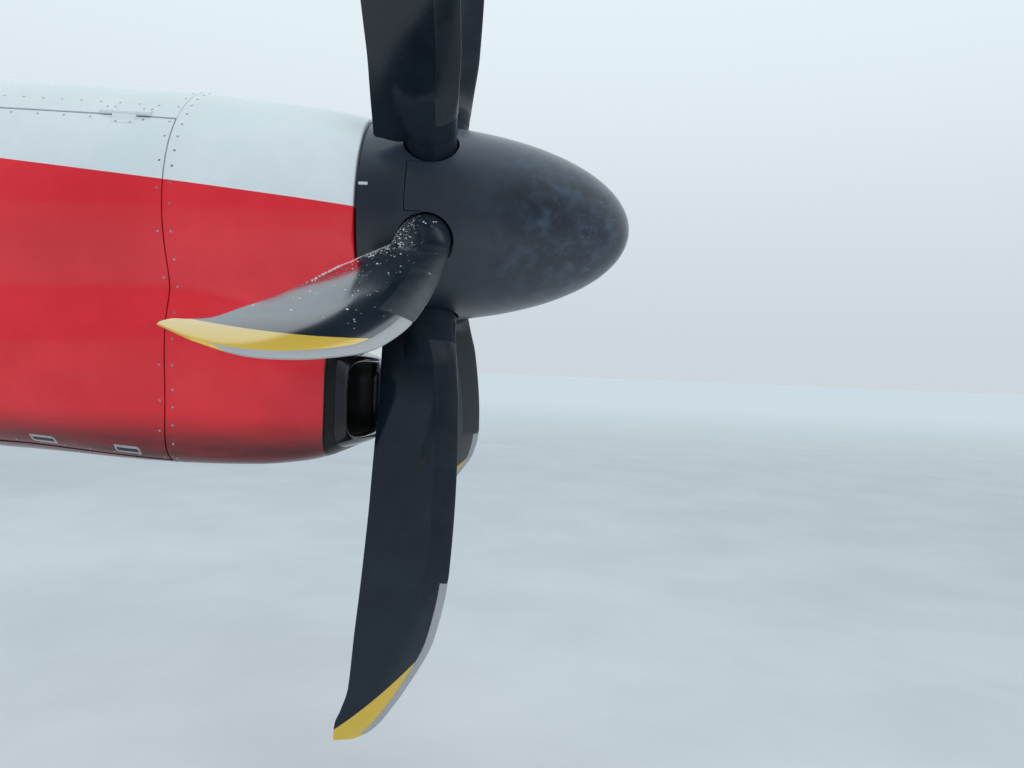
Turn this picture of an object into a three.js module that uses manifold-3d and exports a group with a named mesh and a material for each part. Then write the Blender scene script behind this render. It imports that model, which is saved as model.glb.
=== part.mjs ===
// A turboprop engine nacelle with its six-blade propeller, in millimetres.
// +X points forward along the propeller shaft, +Y to the left, +Z up. The origin is on the aft face of
// the firewall, where the shaft line meets it. "Aft distance" below is measured back from the plane of
// the blade pitch axes, so a station on the part's x axis is PROP_X minus that distance.
import * as THREE from "three";
import { mergeVertices } from "three/addons/utils/BufferGeometryUtils.js";
import Module from "manifold-3d";

const wasm = await Module();
wasm.setup();

// Driving dimensions
const PROP_X = 2700; // pitch-axis plane ahead of the firewall's aft face
const SEAT_GAP = 0.3; // between solids that touch
const PANEL_GAP = 5; // between a door and what surrounds it
const SKIN = 22; // cowl panel thickness

const PROP_RADIUS = 2057;
const BLADE_COUNT = 6;
const BLADE_PHASE = 48.4; // degrees from the top towards -Y, first blade
const SHANK_RADIUS = 93;
const SHANK_INNER = 270; // where a shank leaves its hub arm
const BLADE_ROOT = 455; // radius of the square-cut inner edge of the airfoil
const SHEATH_START = 1487;
const SHEATH_WIDTH = 31;

const SPINNER_RIM_AFT = 260;
const SPINNER_RIM_RADIUS = 416;
const SPINNER_TIP_AHEAD = 811;
const SPINNER_POWER = 2.184;
const SPINNER_WALL = 9;
const SPINNER_SEAM_AFT = 80;
const SOCKET_RADIUS = 109;

const COWL_FRONT_AFT = 270; // front edge of the nose cowl, just behind the spinner
const COLLAR_AFT = 365; // where the painted chin meets the black collar
const BOOT_AFT = 290; // where the collar meets the rubber lip
const LIP_AFT = 232; // foremost point of the lip, on the centreline
const LIP_SWEEP = 50; // how much further aft the mouth's whole rim lies at its sides
const NOSE_COWL_END = 960; // aft distance of the joint between nose cowl and doors
const DOOR_END = 2560;
const FIREWALL_THICKNESS = 30;

const DOOR_TOP = 4 / 32; // places around the section, from 0 at the top to 1 after a full turn
const DOOR_BOTTOM = 13 / 32;
const HINGE_RISE = 13; // hinge line above the skin
const KNUCKLE_RADIUS = 9;

const X = new THREE.Vector3(1, 0, 0);
const radians = THREE.MathUtils.degToRad;
const lerp = THREE.MathUtils.lerp;
const clamp = THREE.MathUtils.clamp;

// Straight-line interpolation in a table whose rows are [place, value, value, ...].
function interpolate(rows, at) {
  const last = rows.length - 1;
  let i = rows.findIndex((row) => row[0] >= at);
  if (i < 0) i = last;
  if (i === 0) i = 1;
  const [a, b] = [rows[i - 1], rows[i]];
  const t = clamp((at - a[0]) / (b[0] - a[0]), 0, 1);
  return a.slice(1).map((value, k) => lerp(value, b[k + 1], t));
}

// Geometry helpers

// Joins loops of equal length into a skin. A cyclic skin closes on its first loop, as a ring does, and
// any other is capped at both ends: with a fan, or with a strip where the second half of each loop
// runs back along the first.
function loft(loops, cyclic = false, strip = false) {
  const n = loops[0].length;
  const rings = loops.length;
  const positions = loops.flat().flatMap((p) => [p.x, p.y, p.z]);
  const index = [];
  for (let i = 0; i < (cyclic ? rings : rings - 1); i++) {
    const next = (i + 1) % rings;
    for (let k = 0; k < n; k++) {
      const [a, b] = [i * n + k, i * n + ((k + 1) % n)];
      const [c, d] = [next * n + k, next * n + ((k + 1) % n)];
      index.push(a, b, d, a, d, c);
    }
  }
  const end = (rings - 1) * n;
  if (!cyclic && strip) {
    for (let k = 0; k < n / 2 - 1; k++) {
      const [a, b, c, d] = [k, k + 1, n - 2 - k, n - 1 - k];
      index.push(a, c, b, a, d, c, end + a, end + b, end + c, end + a, end + c, end + d);
    }
  } else if (!cyclic) {
    for (let k = 1; k < n - 1; k++) index.push(0, k + 1, k, end, end + k, end + k + 1);
  }
  return meshGeometry(positions, index);
}

function meshGeometry(positions, index) {
  const geometry = new THREE.BufferGeometry();
  geometry.setAttribute("position", new THREE.Float32BufferAttribute(positions, 3));
  geometry.setIndex(index);
  return geometry;
}

function toSolid(geometry) {
  const bare = new THREE.BufferGeometry();
  bare.setAttribute("position", geometry.getAttribute("position").clone());
  if (geometry.index) bare.setIndex(geometry.index.clone());
  const merged = mergeVertices(bare, 1e-3);
  const triVerts = new Uint32Array(merged.index.array);
  const vertProperties = new Float32Array(merged.attributes.position.array);
  let solid = new wasm.Manifold(new wasm.Mesh({ numProp: 3, vertProperties, triVerts }));
  if (solid.volume() < 0) {
    for (let i = 0; i < triVerts.length; i += 3) {
      [triVerts[i + 1], triVerts[i + 2]] = [triVerts[i + 2], triVerts[i + 1]];
    }
    solid = new wasm.Manifold(new wasm.Mesh({ numProp: 3, vertProperties, triVerts }));
  }
  return solid;
}

function toGeometry(solid) {
  const mesh = solid.getMesh();
  const positions = [];
  for (let i = 0; i < mesh.numVert; i++) {
    positions.push(...mesh.vertProperties.subarray(i * mesh.numProp, i * mesh.numProp + 3));
  }
  return meshGeometry(positions, Array.from(mesh.triVerts));
}

const join = (solids) => solids.reduce((all, one) => all.add(one));
const cut = (solid, tools) => tools.reduce((left, tool) => left.subtract(tool), solid);

function boxSolid(low, high) {
  const size = high.map((value, k) => value - low[k]);
  const box = new THREE.BoxGeometry(...size);
  box.translate(...low.map((value, k) => value + size[k] / 2));
  return toSolid(box);
}

// A cylinder or cone from one point to another.
function rodSolid(from, to, radius, segments = 16, endRadius = radius) {
  const [a, b] = [new THREE.Vector3(...from), new THREE.Vector3(...to)];
  const direction = b.clone().sub(a);
  const rod = new THREE.CylinderGeometry(endRadius, radius, direction.length(), segments);
  rod.applyQuaternion(
    new THREE.Quaternion().setFromUnitVectors(new THREE.Vector3(0, 1, 0), direction.clone().normalize()),
  );
  rod.translate(...a.add(b).multiplyScalar(0.5).toArray());
  return toSolid(rod);
}

// A body of revolution about the shaft line, from [x, radius] points that start and end on the axis
// or close on themselves.
function turnedSolid(profile, segments) {
  const points = profile.map(([x, radius]) => new THREE.Vector2(radius, x));
  const lathe = new THREE.LatheGeometry(points, segments);
  lathe.rotateZ(-Math.PI / 2);
  return toSolid(lathe);
}

// Materials, as in the photograph
const finish = (color, roughness, metalness = 0) =>
  new THREE.MeshStandardMaterial({ color, roughness, metalness });
const MATERIALS = {
  blade: finish(0x1d2127, 0.45),
  sheath: finish(0xa9adad, 0.35, 0.8),
  spinner: finish(0x24272c, 0.5),
  hub: finish(0x8b8f92, 0.4, 0.8),
  red: finish(0xc0202c, 0.35),
  boot: finish(0x15161a, 0.3),
  inside: finish(0x3b3e40, 0.7),
  structure: finish(0x7f8a5c, 0.6),
  engine: finish(0x85888a, 0.5, 0.6),
  steel: finish(0x9a9c9e, 0.35, 0.9),
};

const group = new THREE.Group();
function add(name, material, geometry, parent = group) {
  const mesh = new THREE.Mesh(geometry, MATERIALS[material]);
  mesh.name = name;
  parent.add(mesh);
  return mesh;
}

// Nacelle sections

// Nacelle sizes at aft distances: upper radius, then the chin's half width, top and bottom heights.
// aft, upper radius, chin half width, chin top, chin bottom, waist half width
const NACELLE_TABLE = [
  [270, 428, 350, -560, -915, 230],
  [365, 446, 372, -548, -962, 250],
  [480, 464, 388, -535, -990, 300],
  [640, 481, 402, -500, -1008, 345],
  [960, 508, 425, -400, -1020, 400],
  [2700, 560, 470, -300, -960, 440],
];
const WAIST_Z = -500;
const WAIST_HALF_HEIGHT = 150;
const BLEND = 130; // softness of the valley between the upper body and the chin
const CHIN_POWER = 3.2;

function softMinimum(a, b, softness) {
  const h = Math.max(softness - Math.abs(a - b), 0) / softness;
  return Math.min(a, b) - (h * h * softness) / 4;
}

// Signed distance, near enough, from a point of a section to the nacelle's outer surface.
function sectionDistance(aft, y, z) {
  const [radius, halfWidth, top, bottom, waist] = interpolate(NACELLE_TABLE, aft);
  const upper = Math.hypot(y, z) - radius;
  const halfHeight = (top - bottom) / 2;
  const middle = (top + bottom) / 2;
  const reach =
    (Math.abs(y / halfWidth) ** CHIN_POWER + Math.abs((z - middle) / halfHeight) ** CHIN_POWER) **
    (1 / CHIN_POWER);
  const scale = lerp(halfHeight, halfWidth, clamp(Math.abs(y) / halfWidth, 0, 1));
  const between = Math.max(Math.abs(y) - waist, Math.abs(z - WAIST_Z) - WAIST_HALF_HEIGHT);
  return softMinimum(softMinimum(upper, (reach - 1) * scale, BLEND), between, BLEND);
}

// The point of a section at a place around it, from 0 at the top through +Y, the bottom and -Y to 1.
// Rays leave a vertical spine between the shaft line and the chin's middle. inset moves it inwards.
const TOP_SHARE = 0.21;
const SIDE_SHARE = 0.33; // end of the stretch whose rays are level
function sectionPoint(aft, place, inset = 0) {
  const wrapped = ((place % 1) + 1) % 1;
  const side = wrapped <= 0.5 ? 1 : -1;
  const u = wrapped <= 0.5 ? wrapped : 1 - wrapped;
  const [, , top, bottom] = interpolate(NACELLE_TABLE, aft);
  const low = (top + bottom) / 2;
  let start = 0;
  let angle = Math.PI / 2;
  if (u < TOP_SHARE) angle = (u / TOP_SHARE) * (Math.PI / 2);
  else if (u < SIDE_SHARE) start = (low * (u - TOP_SHARE)) / (SIDE_SHARE - TOP_SHARE);
  else {
    start = low;
    angle = (Math.PI / 2) * (1 + (u - SIDE_SHARE) / (0.5 - SIDE_SHARE));
  }
  const [dy, dz] = [side * Math.sin(angle), Math.cos(angle)];
  let [near, far] = [0, 1500];
  for (let i = 0; i < 40; i++) {
    const middle = (near + far) / 2;
    if (sectionDistance(aft, dy * middle, start + dz * middle) < -inset) near = middle;
    else far = middle;
  }
  return new THREE.Vector3(PROP_X - aft, dy * near, start + dz * near);
}

const SECTION_POINTS = 32;
const around = Array.from({ length: SECTION_POINTS }, (_, k) => k / SECTION_POINTS);
const sectionLoop = (aft, inset = 0) => around.map((place) => sectionPoint(aft, place, inset));
// A circle on the shaft line with its points where the section's rays meet it at the top and sides.
const roundLoop = (aft, radius) =>
  around.map((place) => {
    const u = place <= 0.5 ? place : 1 - place;
    const half = Math.PI / 2;
    const angle = u < TOP_SHARE ? (u / TOP_SHARE) * half : half * (1 + (u - TOP_SHARE) / (0.5 - TOP_SHARE));
    const side = place <= 0.5 ? 1 : -1;
    return new THREE.Vector3(PROP_X - aft, side * radius * Math.sin(angle), radius * Math.cos(angle));
  });

// A curved panel of the nacelle skin between two stations and two places around the section.
function skinPanel(aftFrom, aftTo, placeFrom, placeTo) {
  const stations = [aftFrom, (aftFrom + aftTo) / 2, aftTo];
  const [low, high] = [Math.min(placeFrom, placeTo), Math.max(placeFrom, placeTo)];
  const between = Array.from({ length: 2 * SECTION_POINTS + 1 }, (_, k) => k / SECTION_POINTS - 1);
  const places = [low, ...between.filter((place) => place > low + 0.004 && place < high - 0.004), high];
  const loops = stations.map((aft) => [
    ...places.map((place) => sectionPoint(aft, place)),
    ...places.map((place) => sectionPoint(aft, place, SKIN)).reverse(),
  ]);
  return toSolid(loft(loops, false, true));
}

// Nose cowl: a round front behind the spinner, with the chin below it
const COWL_STATIONS = [COLLAR_AFT, 480, 640, NOSE_COWL_END];
const SHAFT_HOLE_RADIUS = 205;
const MOUTH_POWER = 3.2;
// Outer duct surface: half width, top and bottom at an aft distance
const DUCT_TABLE = [
  [285, 326, -600, -888],
  [400, 326, -600, -888],
  [800, 250, -560, -800],
  [1150, 200, -400, -620],
];
const DUCT_WALL = 10;

// A point of an oval with flat sides, at an angle from its top towards +Y. sweep carries its sides aft.
function ovalPoint([aft, halfWidth, top, bottom, sweep = 0], angle) {
  const [s, c] = [Math.sin(angle), Math.cos(angle)];
  const reach = (Math.abs(s) ** MOUTH_POWER + Math.abs(c) ** MOUTH_POWER) ** (-1 / MOUTH_POWER);
  const y = halfWidth * s * reach;
  const back = sweep * (y / halfWidth) ** 2;
  return new THREE.Vector3(PROP_X - aft - back, y, (top + bottom) / 2 + ((top - bottom) / 2) * c * reach);
}
const OVAL_POINTS = 32;
const ovalLoop = (...row) =>
  Array.from({ length: OVAL_POINTS }, (_, k) => ovalPoint(row, (2 * Math.PI * k) / OVAL_POINTS));

// The mouth's lip and duct are each made of four walls that meet at the oval's corners.
const WALLS = [
  ["top", 0],
  ["left", 90],
  ["bottom", 180],
  ["right", 270],
];
const WALL_JOINT = 0.0008; // half the gap between two walls, in radians
const wallAngles = (middle) => {
  const steps = OVAL_POINTS / 8;
  return Array.from({ length: 2 * steps + 1 }, (_, k) => {
    const turn = radians(middle) + ((k - steps) / steps) * (Math.PI / 4);
    if (k === 0) return turn + WALL_JOINT;
    return k === 2 * steps ? turn - WALL_JOINT : turn;
  });
};

const ductRow = (aft, grow = 0, sweep = 0) => {
  const [halfWidth, top, bottom] = interpolate(DUCT_TABLE, aft);
  return [aft, halfWidth + grow, top + grow, bottom - grow, sweep];
};
const ductLoop = (...row) => ovalLoop(...ductRow(...row));

const upperRadius = (aft) => interpolate(NACELLE_TABLE, aft)[0];

function noseCowl() {
  const outer = toSolid(
    loft([
      roundLoop(COWL_FRONT_AFT, upperRadius(COWL_FRONT_AFT)),
      roundLoop(COLLAR_AFT - 1, upperRadius(COLLAR_AFT - 1)),
      ...COWL_STATIONS.map((aft) => sectionLoop(aft)),
    ]),
  );
  const inner = toSolid(
    loft([
      roundLoop(COWL_FRONT_AFT + SKIN, upperRadius(COWL_FRONT_AFT + SKIN) - SKIN),
      roundLoop(COLLAR_AFT + SKIN - 1, upperRadius(COLLAR_AFT + SKIN) - SKIN),
      sectionLoop(COLLAR_AFT + SKIN, SKIN),
      ...COWL_STATIONS.slice(1, -1).map((aft) => sectionLoop(aft, SKIN)),
      sectionLoop(NOSE_COWL_END + 1, SKIN),
    ]),
  );
  const shaftHole = rodSolid([PROP_X - 340, 0, 0], [PROP_X, 0, 0], SHAFT_HOLE_RADIUS, 32);
  const ductHole = toSolid(loft([ductLoop(285, SEAT_GAP), ductLoop(400, SEAT_GAP)]));
  return cut(outer, [inner, shaftHole, ductHole]);
}
add("nose_cowl", "red", toGeometry(noseCowl()));

// Chin collar and lip: rings whose outside runs on from the chin, each a closed run of oval loops.
// The seam between them is swept like the mouth's rim.
// aft, half width, top, bottom, sweep of the sides
const SEAM_OUTSIDE = [364, -557.5, -925];
const LIP_PROFILE = [
  [BOOT_AFT - SEAT_GAP, ...SEAM_OUTSIDE, LIP_SWEEP],
  [262, 359, -565, -918, 50],
  [242, 351, -576, -910, 51],
  [LIP_AFT, 339, -592, -897, 53],
  [241, 327, -604, -884, 52],
  [262, 319, -609, -879, 51],
  [BOOT_AFT - SEAT_GAP, 316, -610, -878, LIP_SWEEP],
];
for (const [wall, middle] of WALLS) {
  const profiles = wallAngles(middle).map((angle) => LIP_PROFILE.map((row) => ovalPoint(row, angle)));
  add(`intake_lip_${wall}`, "boot", toGeometry(toSolid(loft(profiles))));
}

const collarLoops = [
  ovalLoop(BOOT_AFT + SEAT_GAP, ...SEAM_OUTSIDE, LIP_SWEEP),
  ovalLoop(COLLAR_AFT - SEAT_GAP - 1, ...interpolate(NACELLE_TABLE, COLLAR_AFT - SEAT_GAP - 1).slice(1, 4)),
  ductLoop(COLLAR_AFT - SEAT_GAP - 1, SEAT_GAP),
  ductLoop(BOOT_AFT + SEAT_GAP, SEAT_GAP, LIP_SWEEP),
];
add("chin_collar", "boot", toGeometry(toSolid(loft(collarLoops, true))));

// Intake duct: a throat that runs back and up from the mouth to the engine's inlet, with a plate in its end
const DUCT_STATIONS = [
  [BOOT_AFT + SEAT_GAP, LIP_SWEEP],
  [400, 0],
  [800, 0],
  [1150, 0],
];
for (const [wall, middle] of WALLS) {
  const angles = wallAngles(middle);
  const loops = DUCT_STATIONS.map(([aft, sweep]) => [
    ...angles.map((angle) => ovalPoint(ductRow(aft, 0, sweep), angle)),
    ...angles.map((angle) => ovalPoint(ductRow(aft, -DUCT_WALL, sweep), angle)).reverse(),
  ]);
  add(`intake_duct_${wall}`, "inside", toGeometry(toSolid(loft(loops, false, true))));
}
const endPlate = [1130, 1150].map((aft) => ductLoop(aft, -DUCT_WALL - SEAT_GAP));
add("intake_duct_end", "inside", toGeometry(toSolid(loft(endPlate))));

// Fixed skin, frames and firewall
const skinStart = NOSE_COWL_END + SEAT_GAP;
const skinEnd = PROP_X - FIREWALL_THICKNESS - SEAT_GAP;

// Hinge line of a door, as its two ends, above the skin at the door's upper edge
function hingeLine(side) {
  return [NOSE_COWL_END, DOOR_END].map((aft) => {
    const p = sectionPoint(aft, side * DOOR_TOP);
    const outward = new THREE.Vector3(0, p.y, p.z).normalize();
    return p.addScaledVector(outward, HINGE_RISE);
  });
}
const KNUCKLE_STATIONS = [0.12, 0.5, 0.88]; // shares of the hinge line
const FIXED_HALF_LENGTH = 95;
const DOOR_HALF_LENGTH = 45;

// Knuckles along a hinge line and the leaves that carry them on the skin: lengths are along the line.
function knuckles(side, from, to, towardsTop) {
  const [a, b] = hingeLine(side);
  const along = b.clone().sub(a).normalize();
  const length = a.distanceTo(b);
  const solids = [];
  for (const share of KNUCKLE_STATIONS) {
    const centre = a.clone().addScaledVector(along, share * length);
    const p = centre.clone().addScaledVector(along, from);
    const q = centre.clone().addScaledVector(along, to);
    solids.push(rodSolid(p.toArray(), q.toArray(), KNUCKLE_RADIUS, 12));
    const reach = towardsTop ? -0.012 : 0.012;
    const seat = (aft, depth) => sectionPoint(aft, side * (DOOR_TOP + reach), depth);
    const edge = (aft) => sectionPoint(aft, side * (DOOR_TOP + 0.2 * reach), -HINGE_RISE);
    const [aftP, aftQ] = [PROP_X - p.x, PROP_X - q.x];
    const leaf = [
      [aftP, p],
      [aftQ, q],
    ].map(([aft, pin]) => [
      pin.clone(),
      edge(aft),
      seat(aft, -8),
      seat(aft, 10),
      sectionPoint(aft, side * (DOOR_TOP + 0.5 * reach), 10),
      sectionPoint(aft, side * (DOOR_TOP + 0.5 * reach), -2),
    ]);
    solids.push(toSolid(loft(leaf)));
  }
  return solids;
}

for (const [name, side] of [
  ["left", 1],
  ["right", -1],
]) {
  const panel = skinPanel(
    NOSE_COWL_END + PANEL_GAP,
    DOOR_END - PANEL_GAP,
    side * (DOOR_TOP + 0.0015),
    side * (DOOR_BOTTOM - 0.0015),
  );
  add(`cowl_door_${name}`, "red", toGeometry(join([panel, ...knuckles(side, -DOOR_HALF_LENGTH, DOOR_HALF_LENGTH, false)])));
}

const upperPanel = skinPanel(skinStart, DOOR_END - SEAT_GAP, -DOOR_TOP + 0.0005, DOOR_TOP - 0.0005);
const fixedKnuckles = [1, -1].flatMap((side) => [
  ...knuckles(side, -FIXED_HALF_LENGTH, -DOOR_HALF_LENGTH - SEAT_GAP, true),
  ...knuckles(side, DOOR_HALF_LENGTH + SEAT_GAP, FIXED_HALF_LENGTH, true),
]);
add("upper_cowl", "red", toGeometry(join([upperPanel, ...fixedKnuckles])));
// Firewall: a shallow pan whose flange carries the nacelle's line on, with a hole for the exhaust pipe
const EXHAUST_Z = -330;
const EXHAUST_RADIUS = 150;
const FITTING_PLACES = [
  [360, 330],
  [-360, 330],
  [360, -640],
  [-360, -640],
];
const PAD_THICKNESS = 12;
const fittingBolts = ([y, z]) =>
  [
    [-35, -35],
    [-35, 35],
    [35, -35],
    [35, 35],
  ].map(([dy, dz]) => rodSolid([-20, y + dy, z + dz], [40, y + dy, z + dz], 8, 8));
function firewall() {
  const outer = toSolid(loft([sectionLoop(DOOR_END), sectionLoop(PROP_X)]));
  const inner = toSolid(
    loft([sectionLoop(DOOR_END - 1, SKIN), sectionLoop(PROP_X - FIREWALL_THICKNESS, SKIN)]),
  );
  const hole = rodSolid([-20, 0, EXHAUST_Z], [60, 0, EXHAUST_Z], EXHAUST_RADIUS + 4, 32);
  return cut(outer, [inner, hole, ...FITTING_PLACES.flatMap(fittingBolts)]);
}
add("firewall", "structure", toGeometry(firewall()));

// Inner structure: a ring frame in the nose cowl, one half way along the doors, and four beams that
// tie them to the firewall
const FRAME_GAP = 9;
function frame(stations, aft, depth, height) {
  const inset = SKIN + FRAME_GAP;
  const ring = toSolid(loft(stations.map((place) => sectionLoop(place, inset)))).subtract(
    toSolid(loft(stations.map((place) => sectionLoop(place, inset + height)))),
  );
  return ring.intersect(boxSolid([PROP_X - aft - depth, -700, -1200], [PROP_X - aft, 700, 700]));
}
function innerFrame() {
  const beams = [-0.1, 0.1, 0.42, -0.42].map((place) => {
    const [a, b] = [
      [905, SKIN + FRAME_GAP + 24],
      [PROP_X - FIREWALL_THICKNESS - SEAT_GAP, SKIN + FRAME_GAP + 24],
    ].map(([aft, inset]) => sectionPoint(aft, place, inset));
    const corners = (p) =>
      [
        [14, 14],
        [-14, 14],
        [-14, -14],
        [14, -14],
      ].map(([y, z]) => new THREE.Vector3(p.x, p.y + y, p.z + z));
    return toSolid(loft([corners(a), corners(b)]));
  });
  return join([
    frame([640, NOSE_COWL_END + 1], 898, 56, 45),
    frame([NOSE_COWL_END, (NOSE_COWL_END + DOOR_END) / 2, DOOR_END], 1735, 50, 55),
    ...beams,
  ]);
}
add("inner_frame", "structure", toGeometry(innerFrame()));

// Engine: reduction gearbox, inlet case, compressor and turbine casings, joined to one block
const CORE_Z = -150;
const SHAFT_END_AFT = 210;
const ENGINE_END_AFT = 2400;
const at = (aft, y, z) => [PROP_X - aft, y, z];
function engineBlock() {
  const core = (from, to, radius, endRadius = radius) =>
    rodSolid(at(from, 0, CORE_Z), at(to, 0, CORE_Z), radius, 20, endRadius);
  const round = (from, to, radius, endRadius = radius) =>
    rodSolid(at(from, 0, 0), at(to, 0, 0), radius, 24, endRadius);
  return join([
    round(SHAFT_END_AFT, 420, 118),
    round(360, 480, 150, 250),
    round(479, 640, 250),
    rodSolid(at(520, 0, -90), at(860, 0, -120), 262, 20, 230),
    round(632, 652, 268),
    core(840, 1300, 190, 215),
    core(1290, 1320, 250),
    core(1310, 1720, 240),
    core(1715, 1745, 285),
    core(1735, 2230, 262),
    core(2225, 2250, 285),
    core(2240, ENGINE_END_AFT, 262, 190),
    boxSolid([PROP_X - 1420, -185, -600], [PROP_X - 1150 - SEAT_GAP, 185, CORE_Z]),
    boxSolid([PROP_X - 1260, -130, 0], [PROP_X - 900, 130, 150]),
    rodSolid(at(960, 0, 149), at(960, 0, 205), 70, 12),
    rodSolid(at(1140, 0, 149), at(1140, 0, 190), 55, 12),
    boxSolid([PROP_X - 2100, -110, 60], [PROP_X - 1800, 110, 190]),
  ]);
}
add("engine_block", "engine", toGeometry(engineBlock()));

// Exhaust pipe: from the turbine's rear face down and back through the firewall
function exhaustPipe() {
  const [start, bend, end] = [ENGINE_END_AFT + SEAT_GAP, 2600, PROP_X + 40];
  const loops = (grow) =>
    [
      [start - (grow < 0 ? 10 : 0), CORE_Z, 185],
      [start + 40, CORE_Z - 30, 172],
      [bend, EXHAUST_Z + 12, 152],
      [bend + 40, EXHAUST_Z, EXHAUST_RADIUS],
      [end + (grow < 0 ? 10 : 0), EXHAUST_Z, EXHAUST_RADIUS],
    ].map(([aft, z, radius]) =>
      Array.from({ length: 20 }, (_, k) => {
        const angle = (2 * Math.PI * k) / 20;
        return new THREE.Vector3(PROP_X - aft, (radius + grow) * Math.sin(angle), z + (radius + grow) * Math.cos(angle));
      }),
    );
  const flange = rodSolid([-40, 0, EXHAUST_Z], [-26, 0, EXHAUST_Z], EXHAUST_RADIUS + 18, 20);
  return join([toSolid(loft(loops(0))), flange]).subtract(toSolid(loft(loops(-5))));
}
add("exhaust_pipe", "steel", toGeometry(exhaustPipe()));

// Engine mount: on each side two struts run from a pad on the gearbox to pads on the firewall
const STRUT_RADIUS = 20;
for (const [name, side] of [
  ["left", 1],
  ["right", -1],
]) {
  const front = at(560, side * 292, -60);
  const strutFeet = [
    [side * 395, 200],
    [side * 395, -215],
  ];
  const foot = FIREWALL_THICKNESS + SEAT_GAP;
  const solids = [
    boxSolid(
      [front[0] - 60, Math.min(side * 262.5, side * 300), -120],
      [front[0] + 60, Math.max(side * 262.5, side * 300), 0],
    ),
  ];
  for (const [y, z] of strutFeet) {
    solids.push(rodSolid(front, [foot + 10, y, z], STRUT_RADIUS, 12));
    solids.push(boxSolid([foot, y - 45, z - 45], [foot + 16, y + 45, z + 45]));
  }
  add(`engine_mount_${name}`, "steel", toGeometry(join(solids)));
}

// Attachment fittings: pads on the firewall's aft face with four bolt holes that run on through it
FITTING_PLACES.forEach(([y, z], k) => {
  const plate = boxSolid([-PAD_THICKNESS, y - 55, z - 55], [-SEAT_GAP, y + 55, z + 55]);
  add(`attach_fitting_${k + 1}`, "steel", toGeometry(cut(plate, fittingBolts([y, z]))));
});

// Lower cowl between the doors, with a drain mast standing down from it
function drainMast() {
  const aft = 2250;
  const skinZ = sectionPoint(aft, 0.5).z;
  const blade = [
    [skinZ + 8, 70],
    [skinZ - 150, 40],
  ].map(([z, halfLength]) =>
    [
      [halfLength, 0],
      [halfLength * 0.5, 11],
      [-halfLength * 0.6, 9],
      [-halfLength, 0],
      [-halfLength * 0.6, -9],
      [halfLength * 0.5, -11],
    ].map(([x, y]) => new THREE.Vector3(PROP_X - aft + x - (z < skinZ - 100 ? 40 : 0), y, z)),
  );
  return toSolid(loft(blade));
}
const lowerPanel = skinPanel(skinStart, DOOR_END - SEAT_GAP, DOOR_BOTTOM + 0.0015, 1 - DOOR_BOTTOM - 0.0015);
add("lower_cowl", "red", toGeometry(lowerPanel.add(drainMast())));

// Propeller
const spinnerRadius = (ahead) => {
  const u = clamp((ahead + SPINNER_RIM_AFT) / (SPINNER_TIP_AHEAD + SPINNER_RIM_AFT), 0, 1);
  return SPINNER_RIM_RADIUS * Math.sqrt(1 - u ** SPINNER_POWER);
};
const SPINNER_SHARES = [0, 0.17, 0.34, 0.5, 0.64, 0.76, 0.86, 0.93, 0.98, 1];
const SPINNER_SEGMENTS = 48;
function spinnerSolid(inset) {
  const length = SPINNER_TIP_AHEAD + SPINNER_RIM_AFT;
  const rows = SPINNER_SHARES.map((share) => {
    const ahead = -SPINNER_RIM_AFT + share * length;
    const radius = Math.max(spinnerRadius(ahead) - inset, 0);
    return [PROP_X + (share === 1 ? ahead - inset : ahead - inset * share ** 6), share === 1 ? 0 : radius];
  });
  const rear = PROP_X - SPINNER_RIM_AFT - (inset > 0 ? 5 : 0);
  return turnedSolid([[rear, 0], [rear, rows[0][1]], ...rows.slice(1)], SPINNER_SEGMENTS);
}
const bladeAngles = Array.from({ length: BLADE_COUNT }, (_, k) => radians(BLADE_PHASE + (360 / BLADE_COUNT) * k));
const turnAbout = (solid, angle) => solid.rotate([THREE.MathUtils.radToDeg(angle), 0, 0]);
const spinnerWall = spinnerSolid(0).subtract(spinnerSolid(SPINNER_WALL));
const seamX = PROP_X - SPINNER_SEAM_AFT;
const SLOT_CLEARANCE = 4;
const bladeHole = (radius) => rodSolid([PROP_X, 0, 240], [PROP_X, 0, 500], radius, 24);
const slotBox = (halfWidth, from, to) => boxSolid([from, -halfWidth, 240], [to, halfWidth, 500]);

function spinnerShell() {
  const front = spinnerWall.intersect(boxSolid([seamX, -600, -600], [PROP_X + 900, 600, 600]));
  const slot = bladeHole(SOCKET_RADIUS).add(slotBox(SOCKET_RADIUS + SLOT_CLEARANCE, seamX - 1, PROP_X - 14));
  return cut(front, bladeAngles.map((angle) => turnAbout(slot, angle)));
}
add("spinner_shell", "spinner", toGeometry(spinnerShell()));

function spinnerRing() {
  const ring = spinnerWall.intersect(
    boxSolid([PROP_X - 400, -600, -600], [seamX - SEAT_GAP, 600, 600]),
  );
  const horn = slotBox(SOCKET_RADIUS + SLOT_CLEARANCE - SEAT_GAP, seamX - 1, PROP_X - 16);
  const horns = bladeAngles.map((angle) => spinnerWall.intersect(turnAbout(horn, angle)));
  const bulkhead = turnedSolid(
    [
      [PROP_X - SPINNER_RIM_AFT, 190],
      [PROP_X - SPINNER_RIM_AFT, SPINNER_RIM_RADIUS - 3],
      [PROP_X - SPINNER_RIM_AFT + 10, SPINNER_RIM_RADIUS - 3],
      [PROP_X - SPINNER_RIM_AFT + 10, 190],
      [PROP_X - SPINNER_RIM_AFT, 190],
    ],
    SPINNER_SEGMENTS,
  );
  const whole = join([ring, ...horns, bulkhead]);
  return cut(whole, bladeAngles.map((angle) => turnAbout(bladeHole(SOCKET_RADIUS), angle)));
}
add("spinner_ring", "spinner", toGeometry(spinnerRing()));

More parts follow.
